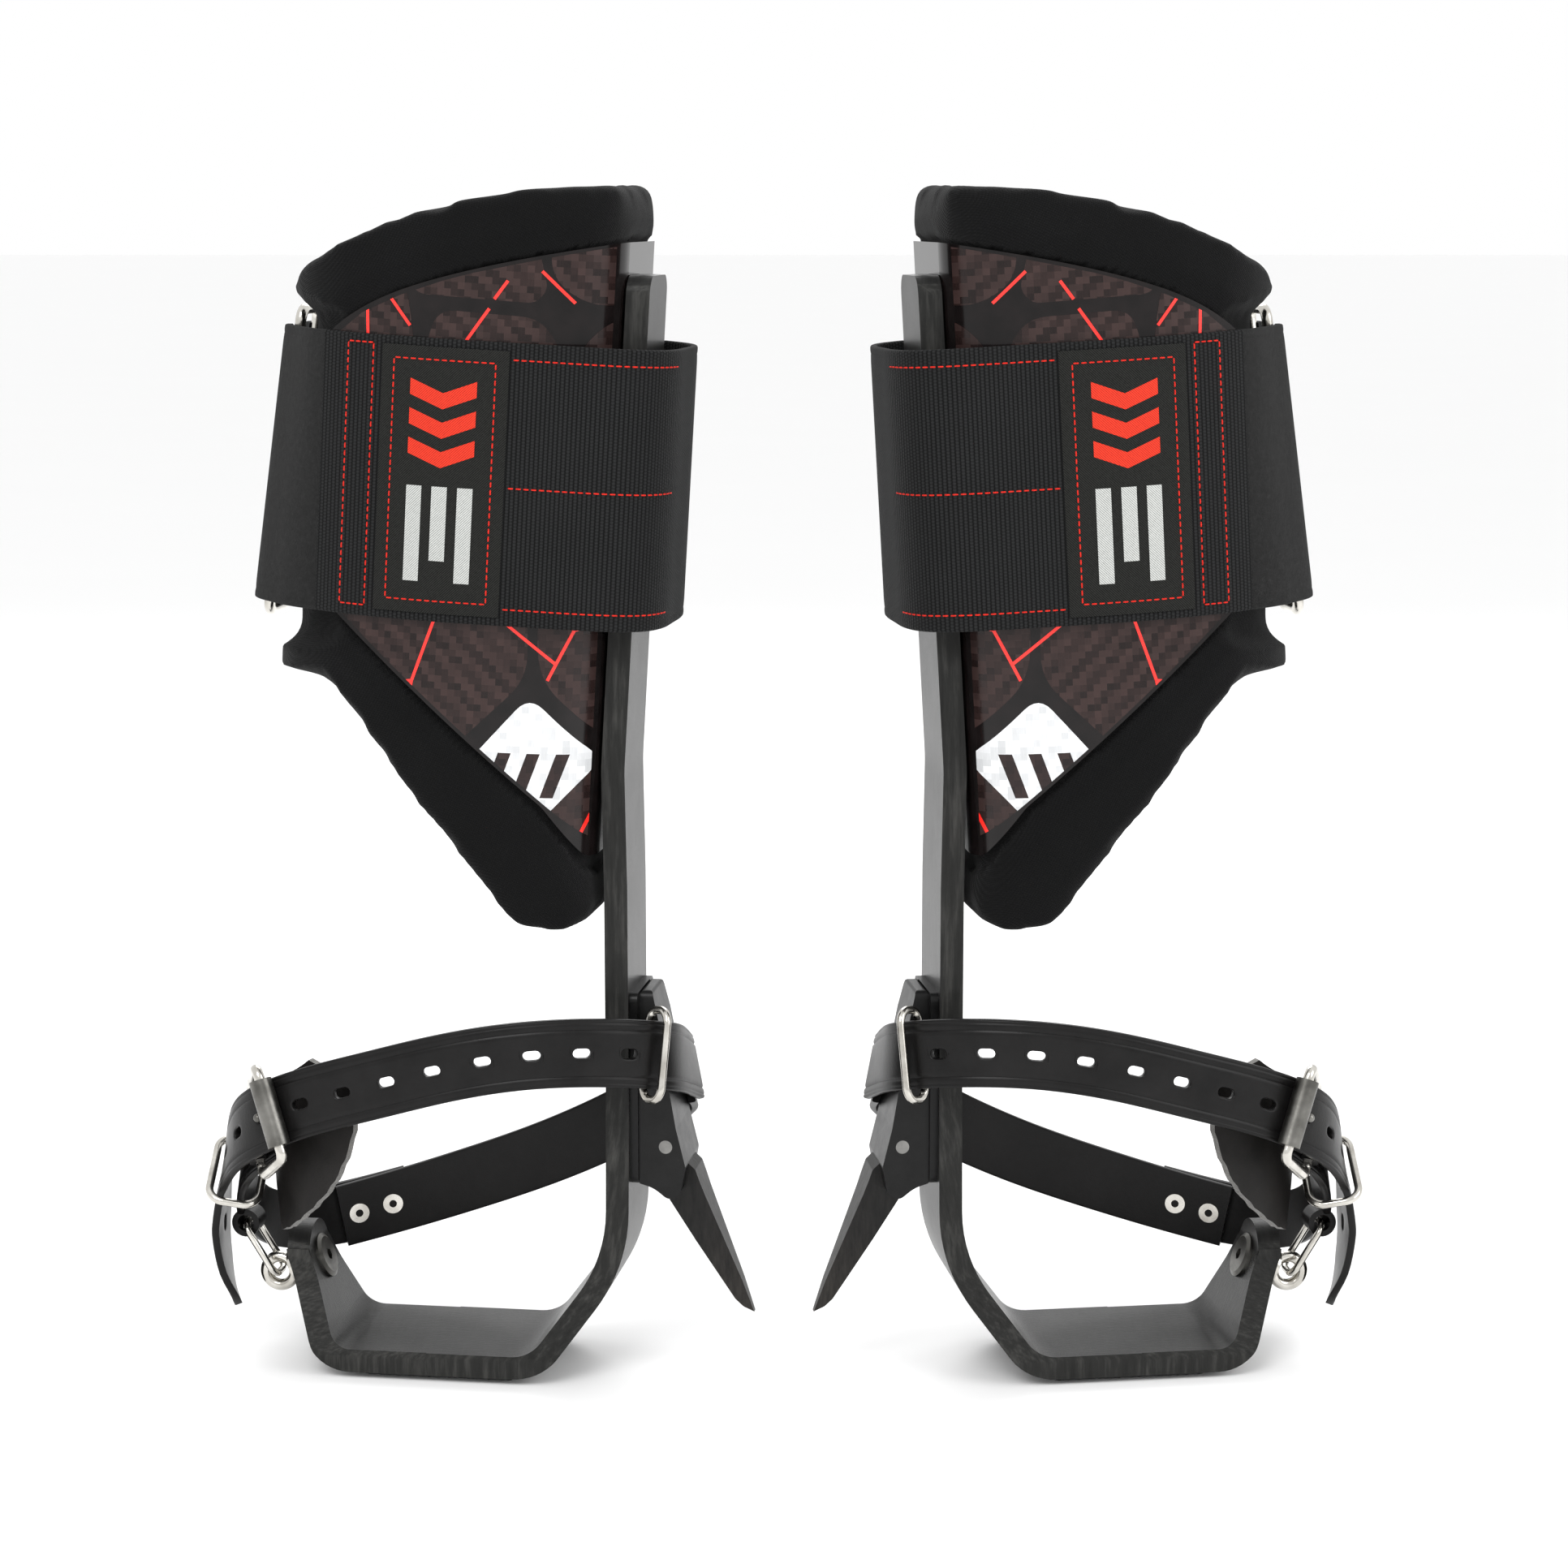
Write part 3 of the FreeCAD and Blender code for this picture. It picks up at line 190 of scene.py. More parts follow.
def carbon_bar():
    """Laminate bar: glossy broad faces and matt sawn edges with streaks along the bar."""
    nodes = Nodes("bar_laminate", Coat_Weight=0.06, Coat_Roughness=0.1, Specular_IOR_Level=0.16)
    edge = nodes.math("GREATER_THAN",
                      nodes.math("ABSOLUTE", nodes.split(nodes.place("Normal"))["Y"]), 0.8)
    long_place = nodes.place(scale=(9.0, 1.0, 1.0))
    streaks = nodes.noise(nodes.place(scale=(1.0, 6.0, 0.12)), 320.0, 5.0, 0.65)
    patches = nodes.noise(nodes.place(), 30.0, 4.0, 0.6)
    specks = nodes.noise(long_place, 60.0, 6.0, 0.75)
    sawn = nodes.ramp(nodes.math("MULTIPLY_ADD", streaks, 0.7, nodes.math(
        "MULTIPLY", patches, 0.3)), [(0.3, (0.007, 0.007, 0.0065)), (0.5, (0.016, 0.016, 0.015)),
                                     (0.72, (0.050, 0.049, 0.046))])
    face = nodes.ramp(specks, [(0.35, (0.011, 0.011, 0.011)), (0.7, (0.022, 0.022, 0.021))])
    colour = nodes.mix(edge, face, sawn)
    rough = nodes.math("MULTIPLY_ADD", edge, 0.32, nodes.math(
        "MULTIPLY_ADD", patches, 0.12, 0.24))
    normal = nodes.bump(streaks, 0.0002, 0.5)
    return nodes.finish(colour, rough, normal)


def black_steel():
    """Satin black coat with a fine orange-peel surface."""
    nodes = Nodes("black_coated_steel", Coat_Weight=0.06, Coat_Roughness=0.25,
                  Specular_IOR_Level=0.18)
    peel = nodes.noise(nodes.place(), 900.0, 2.0)
    worn = nodes.noise(nodes.place(), 110.0, 5.0, 0.7)
    colour = nodes.ramp(worn, [(0.35, grey(0.004)), (0.66, grey(0.008)),
                               (0.8, (0.03, 0.028, 0.026))])
    rough = nodes.math("MULTIPLY_ADD", worn, 0.25, 0.22)
    return nodes.finish(colour, rough, nodes.bump(peel, 0.00006, 0.6))


def gaff_steel():
    """Black oxide that has gone brown and bright where the gaff is ground."""
    nodes = Nodes("black_oxide_gaff", Specular_IOR_Level=0.2)
    along = nodes.noise(nodes.place(scale=(4.0, 4.0, 0.5)), 150.0, 5.0, 0.7)
    height = nodes.split(nodes.place())["Z"]
    low = nodes.add("ShaderNodeMapRange", {"Value": height, "From Min": 0.060,
                                           "From Max": 0.022}).outputs[0]
    dark = nodes.ramp(along, [(0.3, (0.004, 0.004, 0.004)), (0.75, (0.016, 0.015, 0.014))])
    brown = nodes.ramp(along, [(0.3, (0.012, 0.010, 0.009)), (0.75, (0.06, 0.052, 0.045))])
    colour = nodes.mix(nodes.math("MULTIPLY", low, 0.55), dark, brown)
    rough = nodes.math("MULTIPLY_ADD", along, 0.3, 0.25)
    return nodes.finish(colour, rough, nodes.bump(along, 0.00012, 0.5))


def leather(name, dark, light, rough):
    """Smooth finished leather with fine grain and faint cloudy wear."""
    nodes = Nodes(name, Specular_IOR_Level=0.16, Coat_Weight=0.04, Coat_Roughness=0.3)
    grain = nodes.add("ShaderNodeTexVoronoi", {"Vector": nodes.place(), "Scale": 1300.0},
                      feature="DISTANCE_TO_EDGE").outputs["Distance"]
    fine = nodes.noise(nodes.place(), 700.0, 4.0, 0.6)
    clouds = nodes.noise(nodes.place(), 45.0, 4.0, 0.65)
    colour = nodes.ramp(clouds, [(0.3, dark), (0.75, light)])
    level = nodes.math("MULTIPLY_ADD", clouds, 0.22, rough - 0.1)
    pores = nodes.bump(grain, 0.00010, 0.35)
    return nodes.finish(colour, level, nodes.bump(fine, 0.00012, 0.4, pores))


def raw_leather():
    """Fluffy grey flesh side and cut edges."""
    nodes = Nodes("raw_leather", Roughness=0.95, Sheen_Weight=0.4, Sheen_Roughness=0.6)
    fluff = nodes.noise(nodes.place(), 1500.0, 6.0, 0.75)
    clouds = nodes.noise(nodes.place(), 200.0, 5.0, 0.7)
    colour = nodes.ramp(nodes.math("MULTIPLY_ADD", fluff, 0.6, nodes.math(
        "MULTIPLY", clouds, 0.4)), [(0.3, (0.03, 0.028, 0.025)), (0.5, (0.11, 0.105, 0.095)),
                                    (0.7, (0.24, 0.23, 0.21))])
    return nodes.finish(colour, None, nodes.bump(fluff, 0.0005, 0.9))


def webbing(name, dark, light, pitch=0.0016, bead=0.00115):
    """Ribbed nylon: columns of beads across the strap, every other one half a bead lower, with
    painted highlights on their crests and painted shade in the hollows between them.
    """
    nodes = Nodes(name, Roughness=0.8, Sheen_Weight=0.03, Sheen_Roughness=0.5,
                  Specular_IOR_Level=0.1)
    along = nodes.split(nodes.place("UV"))
    column = nodes.math("DIVIDE", along["X"], pitch)
    rib = nodes.math("ABSOLUTE", nodes.math("SINE", nodes.math("MULTIPLY", column, math.pi)))
    odd = nodes.math("MULTIPLY", nodes.math("FLOOR", column), math.pi)
    beads = nodes.math("MULTIPLY_ADD", nodes.math("COSINE", nodes.math(
        "MULTIPLY_ADD", along["Y"], 2 * math.pi / bead, odd)), 0.5, 0.5)
    height = nodes.math("MULTIPLY", rib, nodes.math("MULTIPLY_ADD", beads, 0.55, 0.45))
    fuzz = nodes.noise(nodes.place(), 1100.0, 4.0, 0.6)
    wear = nodes.noise(nodes.place(), 60.0, 4.0, 0.6)
    # Colour follows the weave's height: crests are painted light as painted highlight and hollows
    # painted dark as painted shade; fuzz and wear vary the tone at random.
    shade = nodes.math("MULTIPLY", height, nodes.math("MULTIPLY_ADD", fuzz, 0.5, nodes.math(
        "MULTIPLY_ADD", wear, 0.5, 0.45)))
    colour = nodes.ramp(shade, [(0.05, dark), (0.75, light)])
    weave = nodes.bump(height, 0.00045, 0.8)
    return nodes.finish(colour, None, nodes.bump(fuzz, 0.0001, 0.5, weave))


def woven_cover():
    """Fine plain-woven cover of the pad, with painted shade in the hollows of its weave and its
    large fold shapes, and painted highlight on their crests.
    """
    nodes = Nodes("woven_cover", Roughness=0.9, Sheen_Weight=0.06, Sheen_Roughness=0.45,
                  Specular_IOR_Level=0.12)
    parts = nodes.split(nodes.place(turn=(0.0, 0.35, 0.0)))
    across = nodes.math("SINE", nodes.math("MULTIPLY", nodes.math(
        "ADD", parts["X"], parts["Y"]), 2 * math.pi / 0.0011))
    up = nodes.math("SINE", nodes.math("MULTIPLY", parts["Z"], 2 * math.pi / 0.0011))
    weave = nodes.math("MULTIPLY", across, up)
    fuzz = nodes.noise(nodes.place(), 1400.0, 5.0, 0.7)
    folds_and_painted_shade = nodes.noise(nodes.place(), 28.0, 3.0, 0.5)
    # The weave and the fold noise lighten the colour on their crests and darken it in their
    # hollows: painted highlight and painted shade; the fuzz varies the tone at random.
    shade = nodes.math("MULTIPLY_ADD", weave, 0.12, nodes.math(
        "MULTIPLY_ADD", fuzz, 0.45, nodes.math("MULTIPLY", folds_and_painted_shade, 0.35)))
    colour = nodes.ramp(shade, [(0.25, (0.002, 0.002, 0.0021)), (0.5, (0.0045, 0.0045, 0.0047)),
                                (0.75, (0.015, 0.015, 0.0155))])
    cloth = nodes.bump(weave, 0.0002, 0.5)
    cloth = nodes.bump(fuzz, 0.0003, 0.6, cloth)
    return nodes.finish(colour, None, nodes.bump(folds_and_painted_shade, 0.004, 0.35, cloth))


def napped_tape():
    """Loop side of hook-and-loop tape: a dense dull nap."""
    nodes = Nodes("napped_tape", Roughness=1.0, Sheen_Weight=0.06, Sheen_Roughness=0.7,
                  Specular_IOR_Level=0.1)
    nap = nodes.noise(nodes.place(), 1900.0, 6.0, 0.8)
    tufts = nodes.noise(nodes.place(), 500.0, 4.0, 0.7)
    height = nodes.math("MULTIPLY_ADD", nap, 0.6, nodes.math("MULTIPLY", tufts, 0.4))
    colour = nodes.ramp(height, [(0.38, grey(0.003)), (0.55, grey(0.010)), (0.72, grey(0.035))])
    return nodes.finish(colour, None, nodes.bump(height, 0.0009, 0.9))


def twill_patch():
    """Patch of fine diagonal twill."""
    nodes = Nodes("twill_patch", Roughness=0.9, Sheen_Weight=0.03, Specular_IOR_Level=0.1)
    flat = nodes.split(nodes.place("UV"))
    lines = nodes.math("MULTIPLY_ADD", nodes.math("SINE", nodes.math(
        "MULTIPLY", nodes.math("ADD", flat["X"], flat["Y"]), 2 * math.pi / 0.0009)), 0.5, 0.5)
    fuzz = nodes.noise(nodes.place(), 1200.0, 4.0, 0.6)
    shade = nodes.math("MULTIPLY_ADD", lines, 0.55, nodes.math("MULTIPLY", fuzz, 0.5))
    colour = nodes.ramp(shade, [(0.2, (0.005, 0.005, 0.0047)), (0.85, (0.026, 0.0265, 0.0245))])
    return nodes.finish(colour, None, nodes.bump(shade, 0.00025, 0.6))


def embroidery(name, dark, light):
    """Dense satin stitch of the patch's plain figures."""
    nodes = Nodes(name, Roughness=0.7, Specular_IOR_Level=0.2)
    flat = nodes.split(nodes.place("UV"))
    lines = nodes.math("MULTIPLY_ADD", nodes.math("SINE", nodes.math(
        "MULTIPLY", nodes.math("ADD", flat["X"], flat["Y"]), 2 * math.pi / 0.0009)), 0.5, 0.5)
    fuzz = nodes.noise(nodes.place(), 1200.0, 4.0, 0.6)
    shade = nodes.math("MULTIPLY_ADD", lines, 0.6, nodes.math("MULTIPLY", fuzz, 0.4))
    colour = nodes.ramp(shade, [(0.15, dark), (0.75, light)])
    return nodes.finish(colour, None, nodes.bump(shade, 0.0002, 0.6))


def thread():
    """Twisted red sewing thread."""
    nodes = Nodes("red_thread", Roughness=0.6, Specular_IOR_Level=0.2)
    twist = nodes.noise(nodes.place(), 2600.0, 3.0)
    colour = nodes.ramp(twist, [(0.3, (0.38, 0.010, 0.006)), (0.7, (0.85, 0.030, 0.016))])
    return nodes.finish(colour, None, nodes.bump(twist, 0.0001, 0.6))


def twill_layers(nodes, size):
    """Carbon twill: 1 on one thread direction and 0 on the other, and a shade per thread."""
    flat = nodes.split(nodes.place("UV"))
    column = nodes.math("FLOOR", nodes.math("DIVIDE", flat["X"], size))
    row = nodes.math("FLOOR", nodes.math("DIVIDE", flat["Y"], size))
    step = nodes.math("FLOORED_MODULO", nodes.math("ADD", column, row), 4.0)
    warp = nodes.math("LESS_THAN", step, 1.5)
    seed = nodes.add("ShaderNodeCombineXYZ", {"X": column, "Y": row}).outputs[0]
    shade = nodes.add("ShaderNodeTexWhiteNoise", {"Vector": seed},
                      noise_dimensions="2D").outputs["Value"]
    return warp, shade


def printed_twill(name, dark, light, rough=0.2):
    """Glossy printed laminate with the twill showing through the colour."""
    nodes = Nodes(name, Coat_Weight=0.15, Coat_Roughness=0.07, Specular_IOR_Level=0.2)
    warp, shade = twill_layers(nodes, 0.0024)
    fibres = nodes.noise(nodes.place("UV", scale=(1.0, 0.08, 1.0)), 3000.0, 2.0)
    level = nodes.math("MULTIPLY_ADD", warp, 0.35, nodes.math(
        "MULTIPLY_ADD", shade, 0.35, nodes.math("MULTIPLY", fibres, 0.3)))
    colour = nodes.ramp(level, [(0.15, dark), (0.85, light)])
    glint = nodes.math("MULTIPLY_ADD", warp, 0.12, rough)
    return nodes.finish(colour, glint, nodes.bump(level, 0.00004, 0.3))


def shell_material():
    """Black glossy laminate whose cut top and bottom edges show light."""
    nodes = Nodes("shell_laminate", Coat_Weight=0.15, Coat_Roughness=0.06,
                  Specular_IOR_Level=0.2)
    up = nodes.math("ABSOLUTE", nodes.split(nodes.place("Normal"))["Z"])
    edge = nodes.math("GREATER_THAN", up, 0.45)
    clouds = nodes.noise(nodes.place(), 150.0, 4.0)
    face = nodes.ramp(clouds, [(0.3, (0.004, 0.0032, 0.0032)), (0.7, (0.009, 0.0065, 0.0065))])
    cut = nodes.ramp(clouds, [(0.3, (0.22, 0.21, 0.20)), (0.7, (0.55, 0.54, 0.52))])
    rough = nodes.math("MULTIPLY_ADD", edge, 0.3, 0.16)
    return nodes.finish(nodes.mix(edge, face, cut), rough, nodes.bump(clouds, 0.00003, 0.4))


def glowing_red_print():
    """Bright red lines of the print, with a faint emission that makes them glow: painted light."""
    nodes = Nodes("red_print_painted_glow", Coat_Weight=0.4, Coat_Roughness=0.1, Roughness=0.4)
    # Emission lets the print glow though it is no lamp: painted light.
    nodes.shader.inputs["Emission Color"].default_value = (1.0, 0.01, 0.004, 1.0)
    nodes.shader.inputs["Emission Strength"].default_value = 0.25
    grain = nodes.noise(nodes.place(), 1200.0, 3.0)
    return nodes.finish(nodes.ramp(grain, [(0.3, (0.75, 0.008, 0.004)), (0.7, (1.0, 0.02, 0.01))]))


def rubber():
    """Dull black rubber."""
    nodes = Nodes("tread_rubber", Roughness=0.8, Specular_IOR_Level=0.2)
    grain = nodes.noise(nodes.place(), 800.0, 4.0)
    dust = nodes.noise(nodes.place(), 120.0, 5.0, 0.7)
    colour = nodes.ramp(dust, [(0.35, grey(0.010)), (0.75, grey(0.035))])
    return nodes.finish(colour, None, nodes.bump(grain, 0.0001, 0.5))


# ==== geometry helpers ======================================================================

def piece(name, points, faces, material, space, body, stands_for=(), flat=None, angle=40.0):
    """A mesh on each spur: points in millimetres, flat coordinates per point if given."""
    made = []
    for side in SIDES:
        matrix = METRES @ (space if side == "left" else MIRROR @ space)
        mesh = bpy.data.meshes.new(f"{side}_{name}_look")
        moved = [matrix @ Vector(point) for point in points]
        order = faces if side == "left" else [face[::-1] for face in faces]
        mesh.from_pydata(moved, [], order)
        if flat is not None:
            layer = mesh.uv_layers.new(name="flat")
            for loop in mesh.loops:
                u, v = flat[loop.vertex_index]
                layer.data[loop.index].uv = (u * 0.001, v * 0.001)
        mesh.materials.append(material)
        mesh.shade_smooth()
        mesh.set_sharp_from_angle(angle=math.radians(angle))
        item = bpy.data.objects.new(f"{side}_{name}_look", mesh)
        bpy.context.scene.collection.objects.link(item)
        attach(item, f"{side}_{body}")
        if stands_for:
            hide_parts(*[f"{side}_{node}" for node in stands_for])
        made.append(item)
    return made


class Line:
    """Smooth line through stations of (point, outward normal, width)."""

    def __init__(self, stations):
        self.points = np.array([station[0] for station in stations], float)
        self.normals = np.array([Vector(station[1]).normalized() for station in stations])
        self.widths = np.array([station[2] for station in stations], float)
        steps = np.linalg.norm(np.diff(self.points, axis=0), axis=1)
        self.knots = np.concatenate(([0.0], np.cumsum(steps)))
        self.length = self.knots[-1]
        count = len(self.points)
        matrix = np.eye(count)
        right = np.zeros((count, 3))
        for i in range(1, count - 1):
            before, after = steps[i - 1], steps[i]
            matrix[i, i - 1:i + 2] = before, 2 * (before + after), after
            right[i] = 6 * ((self.points[i + 1] - self.points[i]) / after
                            - (self.points[i] - self.points[i - 1]) / before)
        self.bends = np.linalg.solve(matrix, right)

    def frame(self, place):
        """Middle, outward normal, edge direction and width at a distance along the line."""
        place = min(max(place, -30.0), self.length + 30.0)
        i = int(np.clip(np.searchsorted(self.knots, place) - 1, 0, len(self.knots) - 2))
        step = self.knots[i + 1] - self.knots[i]
        share = (place - self.knots[i]) / step
        rest = 1.0 - share
        middle = (rest * self.points[i] + share * self.points[i + 1] + step ** 2 / 6 * (
            (rest ** 3 - rest) * self.bends[i] + (share ** 3 - share) * self.bends[i + 1]))
        slope = ((self.points[i + 1] - self.points[i]) / step + step / 6 * (
            (3 * share ** 2 - 1) * self.bends[i + 1] - (3 * rest ** 2 - 1) * self.bends[i]))
        mixed = rest * self.normals[i] + share * self.normals[i + 1]
        direction = Vector(slope).normalized()
        edge = direction.cross(Vector(mixed)).normalized()
        normal = edge.cross(direction).normalized()
        width = rest * self.widths[i] + share * self.widths[i + 1]
        return Vector(middle), normal, edge, width

    def bend(self, flat_points, full_width):
        """Takes (along, across, up) points of a flat strap onto the line."""
        frames = {}
        bent = []
        for along, across, up in flat_points:
            if along not in frames:
                frames[along] = self.frame(along)
            middle, normal, edge, width = frames[along]
            bent.append(middle + edge * (across * width / full_width) + normal * up)
        return bent


def oval(length, width, grow):
    """Sixteen points round a slot, anticlockwise from the middle of one end."""
    half = (length - width) / 2
    radius = width / 2 + grow
    turns = [(half, angle) for angle in (0, 30, 60, 90)] + [(0.0, 90)]
    turns += [(-half, angle) for angle in (90, 120, 150, 180, 210, 240, 270)] + [(0.0, 270)]
    turns += [(half, angle) for angle in (270, 300, 330)]
    return [(centre + radius * math.cos(math.radians(angle)), radius * math.sin(
        math.radians(angle))) for centre, angle in turns]


BLOCK_RIM = [(4, 2), (4, 3), (4, 4), (3, 4), (2, 4), (1, 4), (0, 4), (0, 3),
             (0, 2), (0, 1), (0, 0), (1, 0), (2, 0), (3, 0), (4, 0), (4, 1)]


def slab(columns, rows, top, bottom, holes=(), first_row=0, hole=(0.0, 0.0)):
    """Flat strap as (along, across, up) points and faces, with oval holes punched through.

    Each hole is the index of the column where its block of four columns begins; the block
    takes four rows from first_row.
    """
    points = []
    faces = []
    grids = []
    rings = []
    for surface, sign in ((top, 1), (bottom, -1)):
        grid = {}
        for i, along in enumerate(columns):
            for j, across in enumerate(rows):
                grid[i, j] = len(points)
                points.append((along, across, surface(along, across)))
        for i in range(len(columns) - 1):
            for j in range(len(rows) - 1):
                in_hole = any(start <= i < start + 4 for start in holes)
                if in_hole and first_row <= j < first_row + 4:
                    continue
                face = (grid[i, j], grid[i + 1, j], grid[i + 1, j + 1], grid[i, j + 1])
                faces.append(face if sign > 0 else face[::-1])
        ends = []
        for start in holes:
            before = [grid[start + i, first_row + j] for i, j in BLOCK_RIM]
            centre = columns[start + 2]
            for grow, sink in ((1.0, 0.0), (0.45, 0.05), (0.12, 0.25), (0.0, 0.6)):
                ring = []
                for along, across in oval(*hole, grow):
                    ring.append(len(points))
                    height = surface(centre + along, across)
                    points.append((centre + along, across, height - sign * sink))
                for k in range(16):
                    face = (before[k - 1], before[k], ring[k], ring[k - 1])
                    faces.append(face if sign > 0 else face[::-1])
                before = ring
            ends.append(before)
        grids.append(grid)
        rings.append(ends)
    for above, below in zip(*rings):
        faces += [(above[k - 1], above[k], below[k], below[k - 1]) for k in range(16)]
    last_i, last_j = len(columns) - 1, len(rows) - 1
    rim = ([(i, 0) for i in range(last_i)] + [(last_i, j) for j in range(last_j)]
           + [(i, last_j) for i in range(last_i, 0, -1)] + [(0, j) for j in range(last_j, 0, -1)])
    above, below = grids
    for k, corner in enumerate(rim):
        after = rim[(k + 1) % len(rim)]
        faces.append((below[corner], below[after], above[after], above[corner]))
    return points, faces


def steps_between(first, last, size):
    """Evenly spaced places, ends included, no further apart than size."""
    count = max(1, math.ceil((last - first) / size))
    return [first + (last - first) * k / count for k in range(count + 1)]


def rounded(half, radius, full):
    """Half thickness near a rounded edge, as a function of the place across."""
    def height(across):
        inside = half - abs(across)
        if inside >= radius:
            return full
        return full - radius + math.sqrt(max(0.0, radius ** 2 - (radius - inside) ** 2))
    return height


def arc_point(centre, radius, angle):
    """Point on a circle round the cuff; 0 degrees is towards the bar and 90 is the front."""
    turn = math.radians(angle)
    return centre[0] + radius * math.cos(turn), centre[1] - radius * math.sin(turn)


CORNER_CENTRE = (-SHELL_GAP - CORNER_RADIUS, CORNER_V)
FRONT_CENTRE = arc_point(CORNER_CENTRE, CORNER_RADIUS - FRONT_RADIUS, CORNER_END)
SIDE_CENTRE = arc_point(FRONT_CENTRE, FRONT_RADIUS - SIDE_RADIUS, FRONT_END)


def around(angle, outward):
    """Point (a, v) and outward direction on the shell's outer surface."""
    if angle < CORNER_END:
        centre, radius = CORNER_CENTRE, CORNER_RADIUS
    elif angle < FRONT_END:
        centre, radius = FRONT_CENTRE, FRONT_RADIUS
    else:
        centre, radius = SIDE_CENTRE, SIDE_RADIUS
    turn = math.radians(angle)
    return arc_point(centre, radius + outward, angle), (math.cos(turn), -math.sin(turn))


def front_place(a):
    """Angle on the shell's front where it is at a given a."""
    low, high = 0.0, 180.0
    for _ in range(30):
        middle = (low + high) / 2
        if around(middle, 0.0)[0][0] > a:
            low = middle
        else:
            high = middle
    return (low + high) / 2


def on_shell(a, height, outward):
    """Point of the cuff's frame that lies on the shell's front, a little off its surface."""
    (place_a, place_v), normal = around(front_place(a), outward)
    return place_a, place_v, height


def capsule(start, end, normal, radius):
    """Points and faces of one stitch lying on a surface, its ends sunk in."""
    along = end - start
    side = along.cross(normal).normalized()
    points = []
    for share, rise, size in ((0.0, -0.9, 0.35), (0.12, 0.1, 0.85), (0.5, 0.45, 1.0),
                              (0.88, 0.1, 0.85), (1.0, -0.9, 0.35)):
        middle = start + along * share + normal * (rise * radius)
        for k in range(6):
            turn = k * math.pi / 3
            points.append(middle + side * (math.cos(turn) * radius * size)
                          + normal * (math.sin(turn) * radius * size))
    faces = [tuple(range(6))[::-1], tuple(range(24, 30))]
    for ring in range(4):
        for k in range(6):
            low, high = ring * 6 + k, ring * 6 + (k + 1) % 6
            faces.append((low, high, high + 6, low + 6))
    return points, faces


def stitches(name, rows_of_points, surface, space, body, pitch=2.7, share=0.78, radius=0.3):
    """Sewn rows: each row is (along, across) corners, surface gives (point, normal)."""
    points = []
    faces = []
    for row in rows_of_points:
        for first, last in zip(row, row[1:]):
            run = math.hypot(last[0] - first[0], last[1] - first[1])
            count = max(1, round(run / pitch))
            for k in range(count):
                ends = []
                for part in ((k + (1 - share) / 2) / count, (k + (1 + share) / 2) / count):
                    ends.append(surface(first[0] + (last[0] - first[0]) * part,
                                        first[1] + (last[1] - first[1]) * part))
                (start, normal), (end, other) = ends
                more, quads = capsule(start, end, normal, radius)
                faces += [tuple(index + len(points) for index in quad) for quad in quads]
                points += more
    return piece(name, points, faces, RED_THREAD, space, body)


def clip(outline, edges):
    """Convex outline cut back to the left-hand side of each edge."""
    for first, last in edges:
        kept = []
        for here, before in zip(outline, outline[-1:] + outline[:-1]):
            sides = [(last[0] - first[0]) * (point[1] - first[1])
                     - (last[1] - first[1]) * (point[0] - first[0]) for point in (before, here)]
            if sides[0] * sides[1] < 0:
                share = sides[0] / (sides[0] - sides[1])
                kept.append((before[0] + (here[0] - before[0]) * share,
                             before[1] + (here[1] - before[1]) * share))
            if sides[1] >= 0:
                kept.append(here)
        outline = kept
    return outline


def soft_corners(corners):
    """Outline with each (a, h, radius) corner rounded off."""
    outline = []
    for k, (a, h, radius) in enumerate(corners):
        here = Vector((a, h))
        back = Vector(corners[k - 1][:2]) - here
        ahead = Vector(corners[(k + 1) % len(corners)][:2]) - here
        if radius <= 0.0:
            outline.append((a, h))
            continue
        reach = min(radius, back.length * 0.48, ahead.length * 0.48)
        first = here + back.normalized() * reach
        last = here + ahead.normalized() * reach
        for step in range(7):
            t = step / 6
            point = first * (1 - t) ** 2 + here * (2 * t * (1 - t)) + last * t ** 2
            outline.append((point.x, point.y))
    return outline


def decal(name, outlines, material, lift, body="cuff"):
    """Thin print on the shell's front, from convex outlines in (a, h)."""
    points = []
    faces = []
    flat = []
    for outline in outlines:
        dense = []
        for k, (a, h) in enumerate(outline):
            before = outline[k - 1]
            count = max(1, math.ceil(math.hypot(a - before[0], h - before[1]) / 1.5))
            dense += [(before[0] + (a - before[0]) * s / count,
                       before[1] + (h - before[1]) * s / count) for s in range(1, count + 1)]
        middle = (sum(a for a, h in dense) / len(dense), sum(h for a, h in dense) / len(dense))
        rings = max(1, math.ceil(max(math.dist(middle, point) for point in dense) / 1.6))
        start = len(points)
        for ring in range(rings):
            size = (rings - ring) / rings
            for a, h in dense:
                flat.append((middle[0] + (a - middle[0]) * size,
                             middle[1] + (h - middle[1]) * size))
                points.append(on_shell(*flat[-1], lift))
        count = len(dense)
        for ring in range(rings - 1):
            for k in range(count):
                low, high = start + ring * count + k, start + ring * count + (k + 1) % count
                faces.append((low, high, high + count, low + count))
        flat.append(middle)
        points.append(on_shell(*middle, lift))
        last = start + (rings - 1) * count
        faces += [(last + k, last + (k + 1) % count, len(points) - 1) for k in range(count)]
    return piece(name, points, faces, material, CUFF, body, flat=flat)


# ==== materials in use ======================================================================

